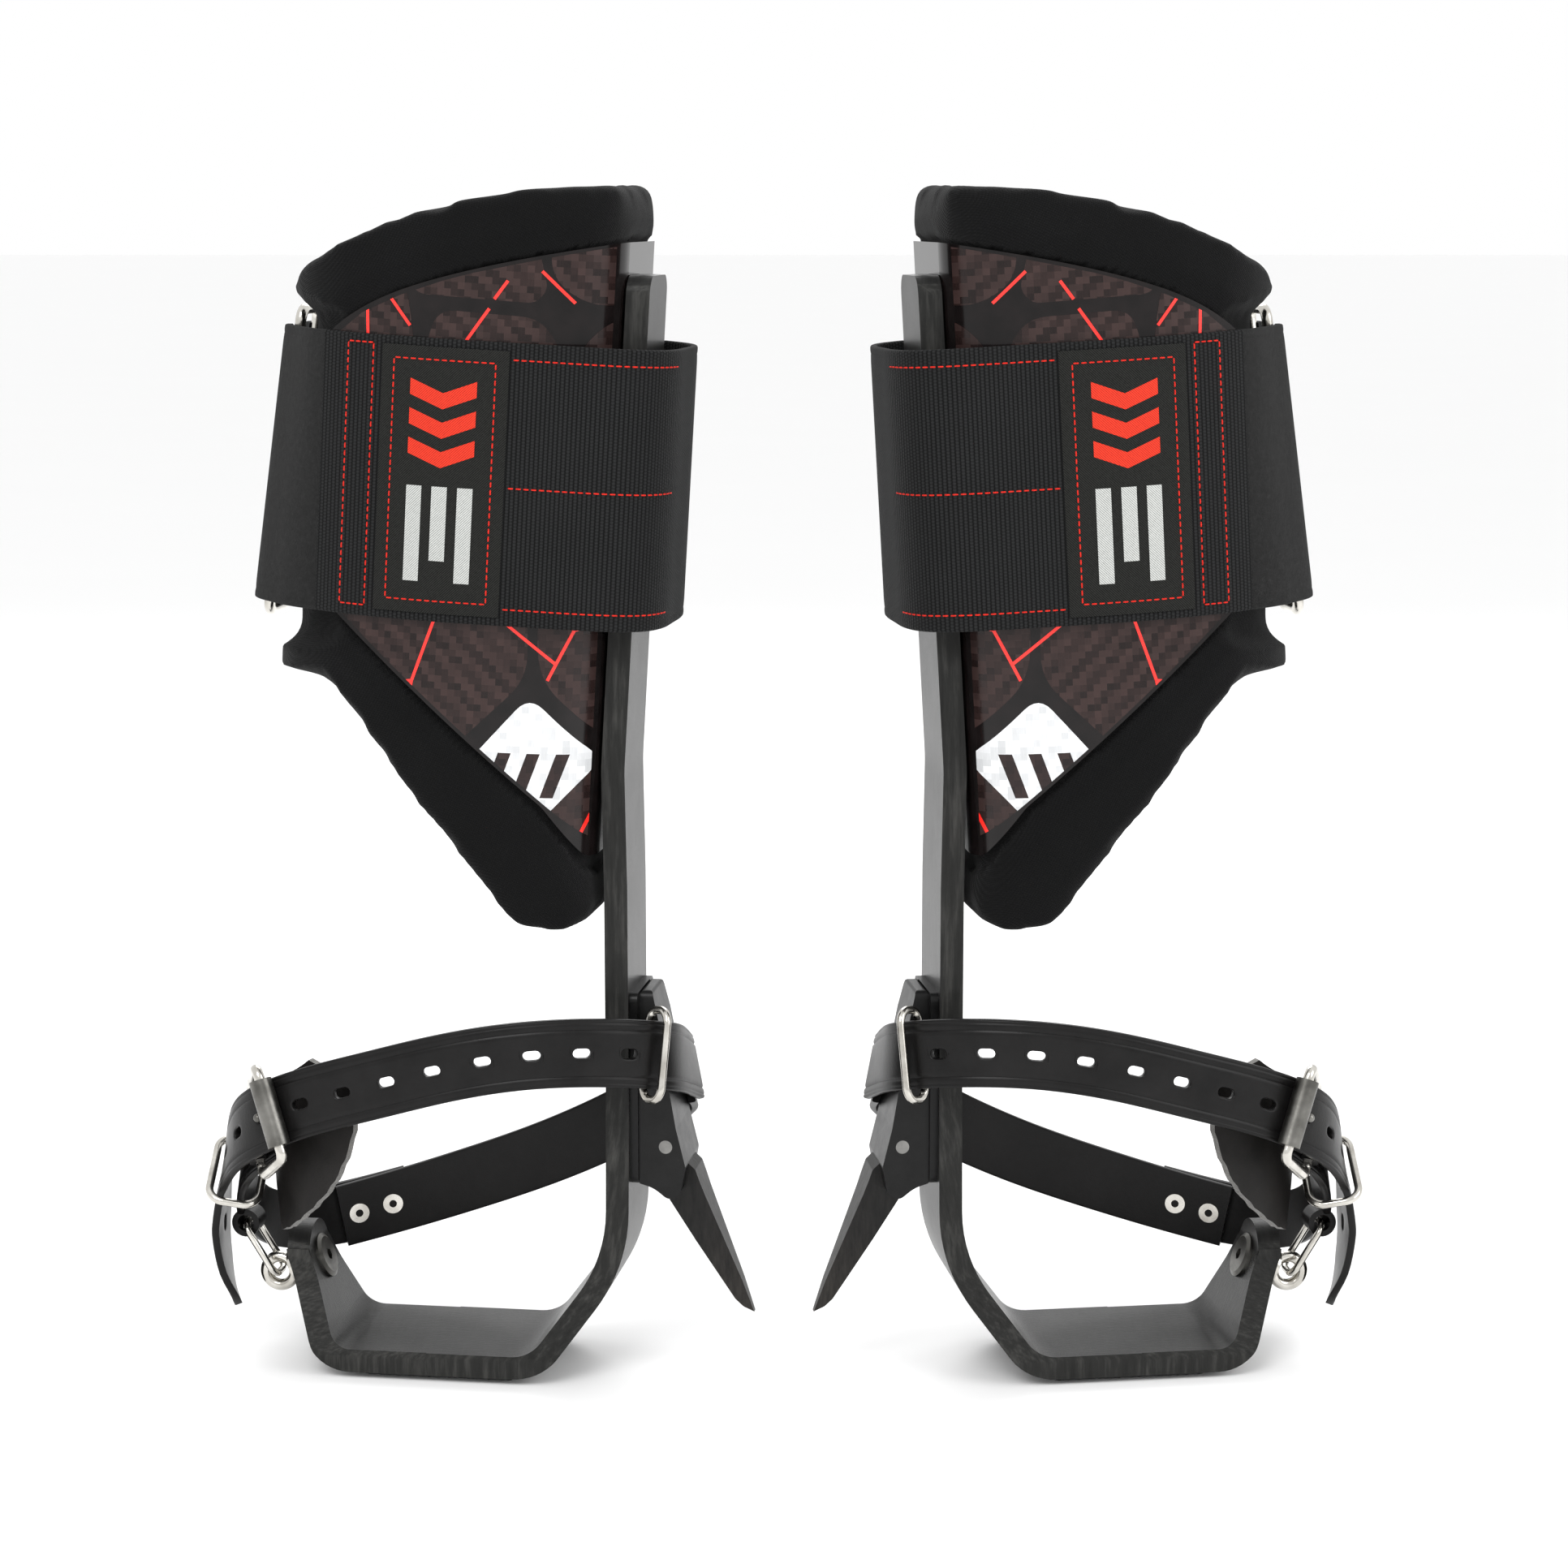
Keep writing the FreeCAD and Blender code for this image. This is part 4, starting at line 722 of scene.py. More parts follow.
BAR = carbon_bar()
BLACK_STEEL = black_steel()
GAFF_STEEL = gaff_steel()
NICKEL = metal("nickel_plate", (0.42, 0.40, 0.36), (0.78, 0.76, 0.71), 0.2, (1.0, 1.0, 1.0))
GUNMETAL = metal("gunmetal", (0.07, 0.068, 0.062), (0.22, 0.215, 0.20), 0.3, (1.0, 1.0, 6.0), 0.1)
DARK_BOLT = metal("dark_bolt", (0.10, 0.10, 0.10), (0.3, 0.295, 0.28), 0.3, (1.0, 1.0, 1.0))
LEATHER = leather("black_leather", (0.0035, 0.0033, 0.0033), (0.010, 0.0095, 0.0095), 0.32)
GUARD_LEATHER = leather("guard_leather", (0.006, 0.0055, 0.005), (0.018, 0.016, 0.015), 0.5)
RAW_LEATHER = raw_leather()
WEBBING = webbing("black_webbing", (0.002, 0.002, 0.0021), (0.0195, 0.020, 0.0205))
NAPPED = napped_tape()
TAPE_BACK = webbing("tape_back", (0.002, 0.002, 0.002), (0.017, 0.0175, 0.018), 0.0011, 0.0022)
PATCH = twill_patch()
PATCH_RED = embroidery("patch_red", (0.32, 0.012, 0.006), (0.85, 0.045, 0.018))
PATCH_GREY = embroidery("patch_grey", (0.20, 0.21, 0.20), (0.58, 0.59, 0.57))
RED_THREAD = thread()
COVER = woven_cover()
SHELL = shell_material()
CELL = printed_twill("cell_print", (0.009, 0.0050, 0.0047), (0.040, 0.022, 0.020))
WHITE_CELL = printed_twill("white_cell", (0.55, 0.56, 0.57), (0.84, 0.85, 0.86), 0.3)
CELL_MARK = printed_twill("cell_mark", (0.010, 0.006, 0.006), (0.030, 0.017, 0.016))
GLOWING_RED_PRINT = glowing_red_print()
RUBBER = rubber()

CAD_LOOKS = {
    "shank_frame": BAR, "sole_tread": RUBBER, "gaff_mount_plate": BLACK_STEEL,
    "gaff_holder": BLACK_STEEL, "gaff": GAFF_STEEL, "gaff_bolts": DARK_BOLT,
    "gaff_retaining_pin": DARK_BOLT, "holder_ring": NICKEL, "lateral_bolt": GUNMETAL,
    "eye_nut": NICKEL, "lower_link": NICKEL, "keeper_ring": NICKEL, "strap_rivets": NICKEL,
    "buckle_frame": NICKEL, "buckle_roller": GUNMETAL, "buckle_prong": GUNMETAL,
    "cuff_bolts": DARK_BOLT, "cuff_nuts": DARK_BOLT, "cuff_shell": SHELL, "cuff_ring": NICKEL,
}
for side in SIDES:
    for node, look in CAD_LOOKS.items():
        for material_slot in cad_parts[f"{side}_{node}"].material_slots:
            material_slot.material = look


# ==== leather straps ========================================================================

FRONT_STRAP = [              # point, outward normal, width
    ((74.4, 20.0, 112.0), (1.0, 0.25, 0.17), LEATHER_WIDTH),
    ((73.5, 2.0, 119.0), (1.0, -0.1, 0.17), LEATHER_WIDTH),
    ((71.0, -17.0, 125.0), (0.85, -0.5, 0.14), LEATHER_WIDTH),
    ((62.0, -31.0, 129.0), (0.6, -0.8, 0.1), LEATHER_WIDTH),
    ((46.0, -42.0, 131.5), (0.4, -0.9, 0.05), LEATHER_WIDTH),
    ((22.0, -48.5, 131.0), (0.12, -1.0, 0.0), LEATHER_WIDTH),
    ((-6.0, -50.0, 126.0), (0.0, -1.0, 0.0), LEATHER_WIDTH),
    ((-34.0, -48.0, 118.0), (-0.1, -1.0, 0.05), LEATHER_WIDTH),
    ((-60.0, -43.5, 109.5), (-0.2, -1.0, 0.1), LEATHER_WIDTH),
    ((-80.0, -36.0, 100.0), (-0.5, -0.9, 0.15), LEATHER_WIDTH),
    ((-94.0, -22.0, 87.5), (-0.85, -0.5, 0.2), LEATHER_WIDTH),
    ((-101.5, -9.0, 72.0), (-1.0, -0.2, 0.2), LEATHER_WIDTH),
    ((-105.5, -3.0, 52.0), (-1.0, -0.1, 0.1), LEATHER_WIDTH),
    ((-105.0, -1.0, 34.0), (-1.0, -0.2, -0.05), LEATHER_WIDTH),
    ((-101.0, 0.0, 18.0), (-1.0, -0.45, -0.15), LEATHER_WIDTH),
]
REAR_STRAP = [
    ((71.5, 17.8, 111.0), (1.0, 0.25, 0.17), LEATHER_WIDTH),
    ((67.5, 33.0, 103.0), (0.8, 0.7, 0.1), LEATHER_WIDTH),
    ((54.0, 45.0, 91.0), (0.45, 0.9, 0.0), LEATHER_WIDTH),
    ((34.0, 54.0, 78.0), (0.3, 1.0, 0.0), LEATHER_WIDTH),
    ((6.0, 59.5, 64.0), (0.1, 1.0, 0.0), LEATHER_WIDTH),
    ((-24.0, 60.0, 52.5), (-0.05, 1.0, 0.0), LEATHER_WIDTH),
    ((-54.0, 54.0, 43.5), (-0.3, 1.0, 0.0), LEATHER_WIDTH),
    ((-72.0, 46.5, 39.5), (-0.45, 0.9, 0.0), LEATHER_WIDTH),
]
BUCKLE_STRAP = [
    ((-47.0, 59.6, 45.3), (-0.25, 1.0, 0.0), LEATHER_WIDTH),
    ((-74.0, 49.2, 39.8), (-0.5, 0.9, 0.0), LEATHER_WIDTH),
    ((-90.0, 34.0, 41.0), (-0.9, 0.5, 0.0), 22.0),
    ((-96.5, 18.0, 49.0), (-1.0, 0.15, 0.05), 20.0),
    ((-97.5, 4.0, 60.0), (-1.0, -0.1, 0.15), 20.0),
    ((-94.5, -8.0, 72.5), (-0.95, -0.3, 0.2), 22.0),
    ((-87.5, -20.5, 85.5), (-0.8, -0.55, 0.2), 24.0),
    ((-78.0, -29.5, 95.5), (-0.5, -0.85, 0.15), 24.0),
]
GUARD = [
    ((-81.0, -4.0, 58.0), (-0.9, -0.45, 0.1), 12.0),
    ((-75.0, -14.0, 73.0), (-0.75, -0.65, 0.1), 30.0),
    ((-66.5, -22.5, 89.0), (-0.52, -0.85, 0.1), 42.0),
    ((-58.5, -28.5, 104.0), (-0.38, -0.92, 0.1), 40.0),
    ((-53.0, -32.0, 119.0), (-0.28, -0.96, 0.1), 22.0),
]
EDGE_ROWS = [-12.5, -12.3, -11.9, -11.5, -11.1, -10.7, -10.3, -9.4, -8.9, -8.5, -8.1, -7.7]
HOLE_ROWS = [-6.6, -3.3, 0.0, 3.3, 6.6]
LEATHER_ROWS = EDGE_ROWS + HOLE_ROWS + [-across for across in EDGE_ROWS[::-1]]
HOLE_REACH = 5.2            # half of the block of columns round a hole
CREASES = ((1.4, 0.22, 0.35), (4.0, 0.45, 0.45))      # from the edge, depth, half width


def leather_top(along, across):
    """Outer face: rounded edges and two creased lines beside each of them."""
    inside = LEATHER_WIDTH / 2 - abs(across)
    height = rounded(LEATHER_WIDTH / 2, 0.7, LEATHER_THICKNESS / 2)(across)
    for middle, depth, reach in CREASES:
        height -= depth * math.exp(-((inside - middle) / reach) ** 2)
    return height - 0.25 * max(0.0, 1.0 - inside / 4.0) ** 2


def leather_bottom(along, across):
    """Inner face: plain, with softly rounded edges."""
    return -rounded(LEATHER_WIDTH / 2, 0.6, LEATHER_THICKNESS / 2)(across)


def punched_columns(length, hole_places):
    """Columns along a strap with a block of four round each hole, and each block's start."""
    columns = [0.0]
    starts = []
    for place in hole_places:
        columns += steps_between(columns[-1], place - HOLE_REACH, 4.0)[1:]
        starts.append(len(columns) - 1)
        columns += steps_between(place - HOLE_REACH, place + HOLE_REACH, HOLE_REACH / 2)[1:]
    columns += steps_between(columns[-1], length, 4.0)[1:]
    return columns, starts


def leather_strap(name, stations, holes, tip=0.0):
    """Leather strap along its line, its end narrowed over the last tip millimetres."""
    line = Line(stations)
    columns, starts = punched_columns(line.length, [line.length * place for place in holes])
    points, faces = slab(columns, LEATHER_ROWS, leather_top, leather_bottom, starts,
                         len(EDGE_ROWS), (HOLE_LENGTH, HOLE_WIDTH))
    if tip:
        points = [(along, across * min(1.0, 0.35 + 0.65 * math.sqrt(max(
            0.0, (line.length - along) / tip))), up) for along, across, up in points]
    return piece(name, line.bend(points, LEATHER_WIDTH), faces, LEATHER, SPUR, "frame",
                 [name], [point[:2] for point in points])


leather_strap("ankle_strap_front", FRONT_STRAP,
              [FIRST_HOLE + HOLE_STEP * k for k in range(HOLE_COUNT)], 12.0)
leather_strap("ankle_strap_rear", REAR_STRAP, [])
leather_strap("buckle_strap", BUCKLE_STRAP, [])

SLEEVE_SIDES = 28


def leather_sleeve(name, start, end, outer, inner):
    """Rolled leather sleeve from start to end round a wire."""
    along = (end - start).normalized()
    side = along.cross(Vector((0.3, 0.2, 1.0))).normalized()
    lift = along.cross(side)
    points = []
    for place, radius in ((start, inner), (start, outer), (end, outer), (end, inner)):
        for k in range(SLEEVE_SIDES):
            turn = 2 * math.pi * k / SLEEVE_SIDES
            points.append(place + side * (radius * math.cos(turn))
                          + lift * (radius * math.sin(turn)))
    faces = []
    for ring in range(4):
        for k in range(SLEEVE_SIDES):
            low, high = ring * SLEEVE_SIDES, (ring + 1) % 4 * SLEEVE_SIDES
            after = (k + 1) % SLEEVE_SIDES
            faces.append((low + k, high + k, high + after, low + after))
    piece(name, points, faces, LEATHER, SPUR, "frame")


LINK_TOP = Vector((-95.55, 0.0, 50.84))       # middle of the link's upper bar
PRONG_HOLE = 8
PRONG_PLACE = FIRST_HOLE + PRONG_HOLE * HOLE_STEP      # share of the front strap's length
HEEL_BEHIND = 17.0                                     # from that hole to the heel bar
HEEL_DEPTH = 6.2                                       # heel bar below the strap's middle
LINK_REACH = Vector((0.0, 4.6, 0.0))
LINK_SLEEVE_RADII = (5.4, 3.2)
HEEL_SLEEVE_RADII = (4.4, 2.1)
HEEL_SLEEVE_HALF = 12.0
PRONG_SLOT_HALF = 2.2       # gap in the heel sleeve that the prong comes out of
leather_sleeve("link_sleeve", LINK_TOP - LINK_REACH, LINK_TOP + LINK_REACH, *LINK_SLEEVE_RADII)
front_line = Line(FRONT_STRAP)
heel, heel_normal, heel_edge, _ = front_line.frame(
    front_line.length * PRONG_PLACE + HEEL_BEHIND)
heel -= heel_normal * HEEL_DEPTH
for name, near, far in (("heel_sleeve_low", -HEEL_SLEEVE_HALF, -PRONG_SLOT_HALF),
                        ("heel_sleeve_high", PRONG_SLOT_HALF, HEEL_SLEEVE_HALF)):
    leather_sleeve(name, heel + heel_edge * near, heel + heel_edge * far, *HEEL_SLEEVE_RADII)


def guard_piece():
    """Leather tongue under the buckle, smooth outside and raw inside and at its cut edge."""
    line = Line(GUARD)
    columns = steps_between(0.0, line.length, 3.0)
    rows = steps_between(-1.0, 1.0, 0.1)

    def half_width(along):
        return 4 + 18 * math.sin(math.pi * min(1.0, 0.06 + 0.9 * along / line.length)) ** 0.6

    points, faces = slab(columns, rows, lambda along, across: 1.3, lambda along, across: -1.3)
    bent = []
    for along, across, up in points:
        middle, normal, edge, width = line.frame(along)
        fuzz = 0.35 * math.sin(along * 2.9 + across * 7.0) if abs(across) > 0.99 else 0.0
        bent.append(middle + edge * (across * half_width(along) + fuzz) + normal * up)
    for item in piece("buckle_guard", bent, faces, GUARD_LEATHER, SPUR, "frame",
                      ["buckle_guard"], [point[:2] for point in points]):
        mesh = item.data
        mesh.materials.append(RAW_LEATHER)
        top_faces = (len(columns) - 1) * (len(rows) - 1)
        for polygon in mesh.polygons:
            polygon.material_index = int(polygon.index >= top_faces)


guard_piece()


# ==== webbing ===============================================================================

def flat_station(a, v, normal_a, normal_v, lean=0.0):
    """Station at mid height of the wide strap."""
    return (a, v, STRAP_MIDDLE), (normal_a, normal_v, lean), WEBBING_WIDTH


def station(angle, outward, lean=0.0):
    """Station on the shell's outer surface."""
    (a, v), normal = around(angle, outward)
    return flat_station(a, v, *normal, lean)


STRAP_MID = STRAP_OUTSIDE - WEBBING_THICKNESS / 2
WEBBING_FRONT = [
    flat_station(4.0, 46.5, 0.35, 0.95), flat_station(14.5, 37.5, 0.8, 0.6),
    flat_station(STRAP_MID, 24.0, 1.0, 0.1), flat_station(STRAP_MID + 0.3, 0.0, 1.0, 0.0),
    flat_station(STRAP_MID - 0.4, -16.0, 1.0, -0.15), flat_station(13.0, -29.5, 0.7, -0.7),
    flat_station(-1.0, -37.3, 0.3, -0.95), flat_station(-20.0, -40.4, 0.16, -1.0),
] + [station(angle, STRAP_LIFT) for angle in (82, 88, 94, 100, 106, 112, 118)]
RING_TAB = [
    station(117.2, STRAP_LIFT - 0.5), station(127, STRAP_LIFT + 0.6, 0.02),
    station(138, STRAP_LIFT + 1.4, 0.05), station(150, STRAP_LIFT + 2.6, 0.07),
    flat_station(RING_A - 3.2, RING_FRONT - 4.5, -1.0, -0.15, LATERAL_LEAN),
    flat_station(RING_A - 3.6, RING_FRONT, -1.0, 0.0, LATERAL_LEAN),
    flat_station(RING_A - 2.3, RING_FRONT + 2.9, -0.7, 0.7, LATERAL_LEAN),
    flat_station(RING_A + 0.9, RING_FRONT + 3.6, 0.0, 1.0, LATERAL_LEAN),
]
WEBBING_REAR = [
    flat_station(3.0, 43.7, 0.35, 0.95), flat_station(-14.0, 51.5, 0.4, 0.9),
    flat_station(-32.0, 61.5, 0.3, 0.95), flat_station(-56.0, 67.5, 0.0, 1.0),
    flat_station(-82.0, 63.0, -0.4, 0.9, 0.02), flat_station(-104.0, 49.0, -0.7, 0.7, 0.04),
    flat_station(-118.0, 31.0, -0.95, 0.3, 0.06),
    flat_station(RING_A + 3.6, RING_REAR + 1.0, -1.0, 0.1, LATERAL_LEAN),
]
FLAP = [
    flat_station(RING_A - 1.0, RING_REAR - 3.6, -0.3, -1.0, LATERAL_LEAN),
    flat_station(RING_A - 3.6, RING_REAR + 0.4, -1.0, 0.0, LATERAL_LEAN),
    flat_station(-124.4, 30.0, -0.95, 0.3, 0.07), flat_station(-110.6, 51.6, -0.7, 0.7, 0.05),
    flat_station(-90.0, 66.3, -0.45, 0.9, 0.03), flat_station(-66.0, 72.2, -0.1, 1.0, 0.0),
]
WEBBING_HALF = WEBBING_WIDTH / 2
SELVAGE = [-50.0, -49.8, -49.4, -48.8, -48.0, -47.2, -46.8, -46.4]
WEBBING_ROWS = (SELVAGE + steps_between(-44.0, 44.0, 8.0) + [-across for across in SELVAGE[::-1]])


def webbing_top(along, across):
    """Outer face with a rounded selvage, set off by a shallow line."""
    inside = WEBBING_HALF - abs(across)
    height = rounded(WEBBING_HALF, 0.9, WEBBING_THICKNESS / 2)(across)
    return height - 0.18 * math.exp(-((inside - 3.2) / 0.5) ** 2)


def webbing_bottom(along, across):
    """Inner face."""
    return -rounded(WEBBING_HALF, 0.9, WEBBING_THICKNESS / 2)(across)


def webbing_strap(name, stations, material, body="cuff"):
    """Wide strap along its line; returns the line."""
    line = Line(stations)
    points, faces = slab(steps_between(0.0, line.length, 2.5), WEBBING_ROWS, webbing_top,
                         webbing_bottom)
    piece(name, line.bend(points, WEBBING_WIDTH), faces, material, CUFF, body, [name],
          [point[:2] for point in points])
    return line


front_webbing = webbing_strap("cuff_strap_front", WEBBING_FRONT, WEBBING)
webbing_strap("cuff_strap_rear", WEBBING_REAR, WEBBING)
webbing_strap("ring_tab", RING_TAB, NAPPED)
webbing_strap("strap_flap", FLAP, TAPE_BACK, "flap")


def on_line(line, lift):
    """Surface function of a strap: flat (along, across) to a point and its outward normal."""
    def surface(along, across):
        middle, normal, edge, width = line.frame(along)
        return middle + edge * across + normal * (WEBBING_THICKNESS / 2 + lift), normal
    return surface


def along_at(line, a):
    """Distance along a strap where it is at a given a on the front of the cuff."""
    low, high = line.length * 0.4, line.length
    for _ in range(30):
        middle = (low + high) / 2
        if line.frame(middle)[0].x > a:
            low = middle
        else:
            high = middle
    return (low + high) / 2


# The patch and the sewn rows, by their place a on the front of the cuff.
PATCH_LEFT = along_at(front_webbing, -80.5)
PATCH_RIGHT = along_at(front_webbing, -35.5)
PATCH_HALF = 47.0
BOX_LEFT = along_at(front_webbing, -93.5)
BOX_RIGHT = along_at(front_webbing, -84.0)
BAR_EDGE = along_at(front_webbing, -1.0) - 32.0


def patch_piece():
    """Twill patch with a folded hem, lying on the front webbing."""
    columns = steps_between(PATCH_RIGHT, PATCH_LEFT, 1.5)
    rows = steps_between(-PATCH_HALF, PATCH_HALF, 1.5)
    middle = (PATCH_LEFT + PATCH_RIGHT) / 2
    half = (PATCH_LEFT - PATCH_RIGHT) / 2

    def top(along, across):
        edge = min(half - abs(along - middle), PATCH_HALF - abs(across))
        hem = 0.22 / (1.0 + math.exp((edge - 4.6) / 0.25))
        return 0.55 + hem - 0.45 * max(0.0, 1.0 - edge / 0.7) ** 2

    points, faces = slab(columns, rows, top, lambda along, across: -0.2)
    base = WEBBING_THICKNESS / 2 + 0.05
    raised = [(along, across, up + base) for along, across, up in points]
    return piece("label_patch", front_webbing.bend(raised, WEBBING_WIDTH), faces, PATCH, CUFF,
                 "cuff", ["label_patch"], [point[:2] for point in points])


def patch_figure(name, outlines, material):
    """Flat embroidered figure on the patch, from convex outlines in fractions of the patch."""
    surface = on_line(front_webbing, 0.75)
    points = []
    faces = []
    flat = []
    for outline in outlines:
        start = len(points)
        for level in (0.0, 0.22):
            for x, y in outline:
                along = PATCH_RIGHT + (1 - x) * (PATCH_LEFT - PATCH_RIGHT)
                across = (1 - 2 * y) * PATCH_HALF
                point, normal = surface(along, across)
                points.append(point + normal * (level - 0.2))
                flat.append((along, across))
        count = len(outline)
        faces.append(tuple(range(start + count, start + 2 * count)))
        for k in range(count):
            low, high = start + k, start + (k + 1) % count
            faces.append((low, high, high + count, low + count))
    return piece(name, points, faces, material, CUFF, "cuff", flat=flat)


def chevron(top, depth, thick):
    """Two slanted bars that meet in the middle of the patch."""
    return [[(0.24, top), (0.5, top + depth), (0.5, top + depth + thick), (0.24, top + thick)],
            [(0.5, top + depth), (0.76, top), (0.76, top + thick), (0.5, top + depth + thick)]]


patch_piece()
patch_figure("patch_chevrons", chevron(0.12, 0.05, 0.06) + chevron(0.23, 0.05, 0.06)
             + chevron(0.34, 0.05, 0.06), PATCH_RED)
patch_figure("patch_bars", [[(left, 0.52), (left + 0.12, 0.52), (left + 0.12, low), (left, low)]
                            for left, low in ((0.24, 0.88), (0.44, 0.80), (0.64, 0.88))],
             PATCH_GREY)

WEBBING_SURFACE = on_line(front_webbing, 0.0)
stitches("webbing_stitches", [
    [(BAR_EDGE, 44.0), (PATCH_RIGHT - 1.0, 44.0)], [(BAR_EDGE, -1.0), (PATCH_RIGHT - 1.0, -1.0)],
    [(BAR_EDGE, -44.0), (PATCH_RIGHT - 1.0, -44.0)],
    [(BOX_RIGHT, 47.0), (BOX_LEFT, 47.0), (BOX_LEFT, -46.0), (BOX_RIGHT, -46.0),
     (BOX_RIGHT, 47.0)],
], WEBBING_SURFACE, CUFF, "cuff")
INSET = 4.6
stitches("patch_stitches", [
    [(PATCH_RIGHT + INSET, 42.5), (PATCH_LEFT - INSET, 42.5), (PATCH_LEFT - INSET, -42.5),
     (PATCH_RIGHT + INSET, -42.5), (PATCH_RIGHT + INSET, 42.5)],
], on_line(front_webbing, 0.72), CUFF, "cuff")


# ==== print on the cuff's shell =============================================================

# The shell's front outline, as edges that print is cut back to; the inside is on the left.
PRINT_TOP = [(-3.0, 188.5), (-25.0, 182.8), (-42.0, 178.8), (-60.0, 173.2), (-76.0, 167.0),
             (-90.0, 160.0), (-104.0, 148.0), (-110.0, 141.0)]
PRINT_LOW = [(-110.0, 66.5), (-17.0, -11.8), (-3.0, -23.6)]
PRINT_OUTLINE = PRINT_TOP + PRINT_LOW
PRINT_EDGES = list(zip(PRINT_OUTLINE, PRINT_OUTLINE[1:] + PRINT_OUTLINE[:1]))
CELLS = [                    # corners (a, h, radius), anticlockwise
    [(-112, 130, 0), (-71, 130, 8), (-70, 152, 8), (-74, 172, 8), (-86, 180, 0), (-112, 165, 0)],
    [(-63, 128, 0), (-17, 128, 8), (-18, 150, 9), (-26, 162, 9), (-62, 163, 9), (-66, 150, 9)],
    [(-72, 168, 6), (-28, 167, 8), (-24, 172, 8), (-30, 195, 0), (-72, 190, 0)],
    [(-24, 176, 9), (-8, 166, 12), (10, 170, 9), (16, 195, 0), (-22, 200, 0)],
    [(-14, 128, 0), (16, 128, 0), (16, 160, 6), (-2, 164, 8), (-14, 150, 8)],
    [(-98, 56, 0), (-52, 6, 4), (-25, 34, 9), (-26, 62, 9), (-34, 64, 4), (-98, 64, 0)],
    [(-20, 33, 8), (1, 12, 7), (8, 12, 0), (8, 70, 0), (-19, 70, 6), (-23, 50, 9)],
    [(-24, -14, 0), (8, -50, 0), (8, 2, 0), (-1, 2, 6)],
]
WHITE_OUTLINE = [(-52, -6, 4), (-30, -26, 4), (-17, -16, 4), (0.5, 4.5, 7), (-24, 28, 7)]
LINES = [                    # red lines, as points (a, h) and branches
    [(-88, 164), (-86, 128)], [(-81, 168), (-72, 157)],
    [(-68, 148), (-59, 141), (-44, 164)], [(-59, 141), (-51, 130)],
    [(-42, 168), (-38, 174)], [(-26, 178), (-15, 168)],
    [(14, 165), (-1, 143), (-8, 151)], [(-1, 143), (-7, 132)],
    [(-56, 62), (-66, 31), (-73, 30)], [(-66, 31), (-67, 24)], [(-44, 62), (-16, 40)],
    [(6, 56), (-10, 52), (-14, 55)], [(-10, 52), (-18, 34)],
    [(-2, -14), (-7, -27), (-15, -34)], [(-7, -27), (6, -27)],
]


def line_outlines(lines, width):
    """Thin rectangles along the segments of each line."""
    outlines = []
    for line in lines:
        for first, last in zip(line, line[1:]):
            start, end = Vector(first), Vector(last)
            side = (end - start).normalized().orthogonal() * (width / 2)
            reach = (end - start).normalized() * (width / 3)
            outlines.append([tuple(start - side - reach), tuple(start + side - reach),
                             tuple(end + side + reach), tuple(end - side + reach)])
    return outlines


def counter_clockwise(outline):
    """The outline, turned anticlockwise if it isn't."""
    area = sum(a[0] * b[1] - b[0] * a[1] for a, b in zip(outline, outline[1:] + outline[:1]))
    return outline if area > 0 else outline[::-1]


def printed(outlines):
    """Outlines cut back to the shell."""
    cut = [clip(counter_clockwise(outline), PRINT_EDGES) for outline in outlines]
    return [outline for outline in cut if len(outline) > 2]


def slanted_bar(a):
    """Plain slanted bar on the white cell."""
    return [(a - 2.0, -9.0), (a + 2.5, -9.0), (a + 7.5, 7.0), (a + 3.0, 7.0)]


decal("print_cells", printed([soft_corners(cell) for cell in CELLS]), CELL, 0.06)
decal("print_white_cell", printed([soft_corners(WHITE_OUTLINE)]), WHITE_CELL, 0.12)
decal("print_marks", printed([slanted_bar(a) for a in (-37.0, -27.0, -17.0)]), CELL_MARK, 0.18)
decal("print_lines", printed(line_outlines(LINES, 1.1)), GLOWING_RED_PRINT, 0.18)


# ==== foam pads =============================================================================

PAD_UNDER = SHELL_THICKNESS + 0.5
PAD_PROUD = 1.5
SHELL_MARGIN = 1.2          # a place this far outside the edges still counts as under the shell
RIM_START = 0.8             # the pad may rise from this far beyond that
RIM_DEPTH = 1.2             # depth below the shell's face that the rise is counted from
RIM_SLOPE = 0.3             # and the rise for each millimetre further out
# The shell's two lower edges, whose corner points inwards.
SHELL_LOW = [((-114.0, 68.0), (-18.0, -12.5)), ((-18.0, -12.5), (-3.5, -31.0))]


def left_of(first, last, a, h):
    """Distance of a place from an edge, positive on its left-hand side."""
    return ((last[0] - first[0]) * (h - first[1])
            - (last[1] - first[1]) * (a - first[0])) / math.dist(first, last)


def least_depth(a, h):
    """How far below the shell's outer face the pad's surface must stay at a place."""
    above = max(-left_of(first, last, a, h) for first, last in PRINT_EDGES[:len(PRINT_TOP) - 1])
    below = min(-left_of(first, last, a, h) for first, last in SHELL_LOW)
    beyond = max(above, below) - SHELL_MARGIN
    if beyond < RIM_START:
        return PAD_UNDER
    return max(-PAD_PROUD, RIM_DEPTH - RIM_SLOPE * beyond)


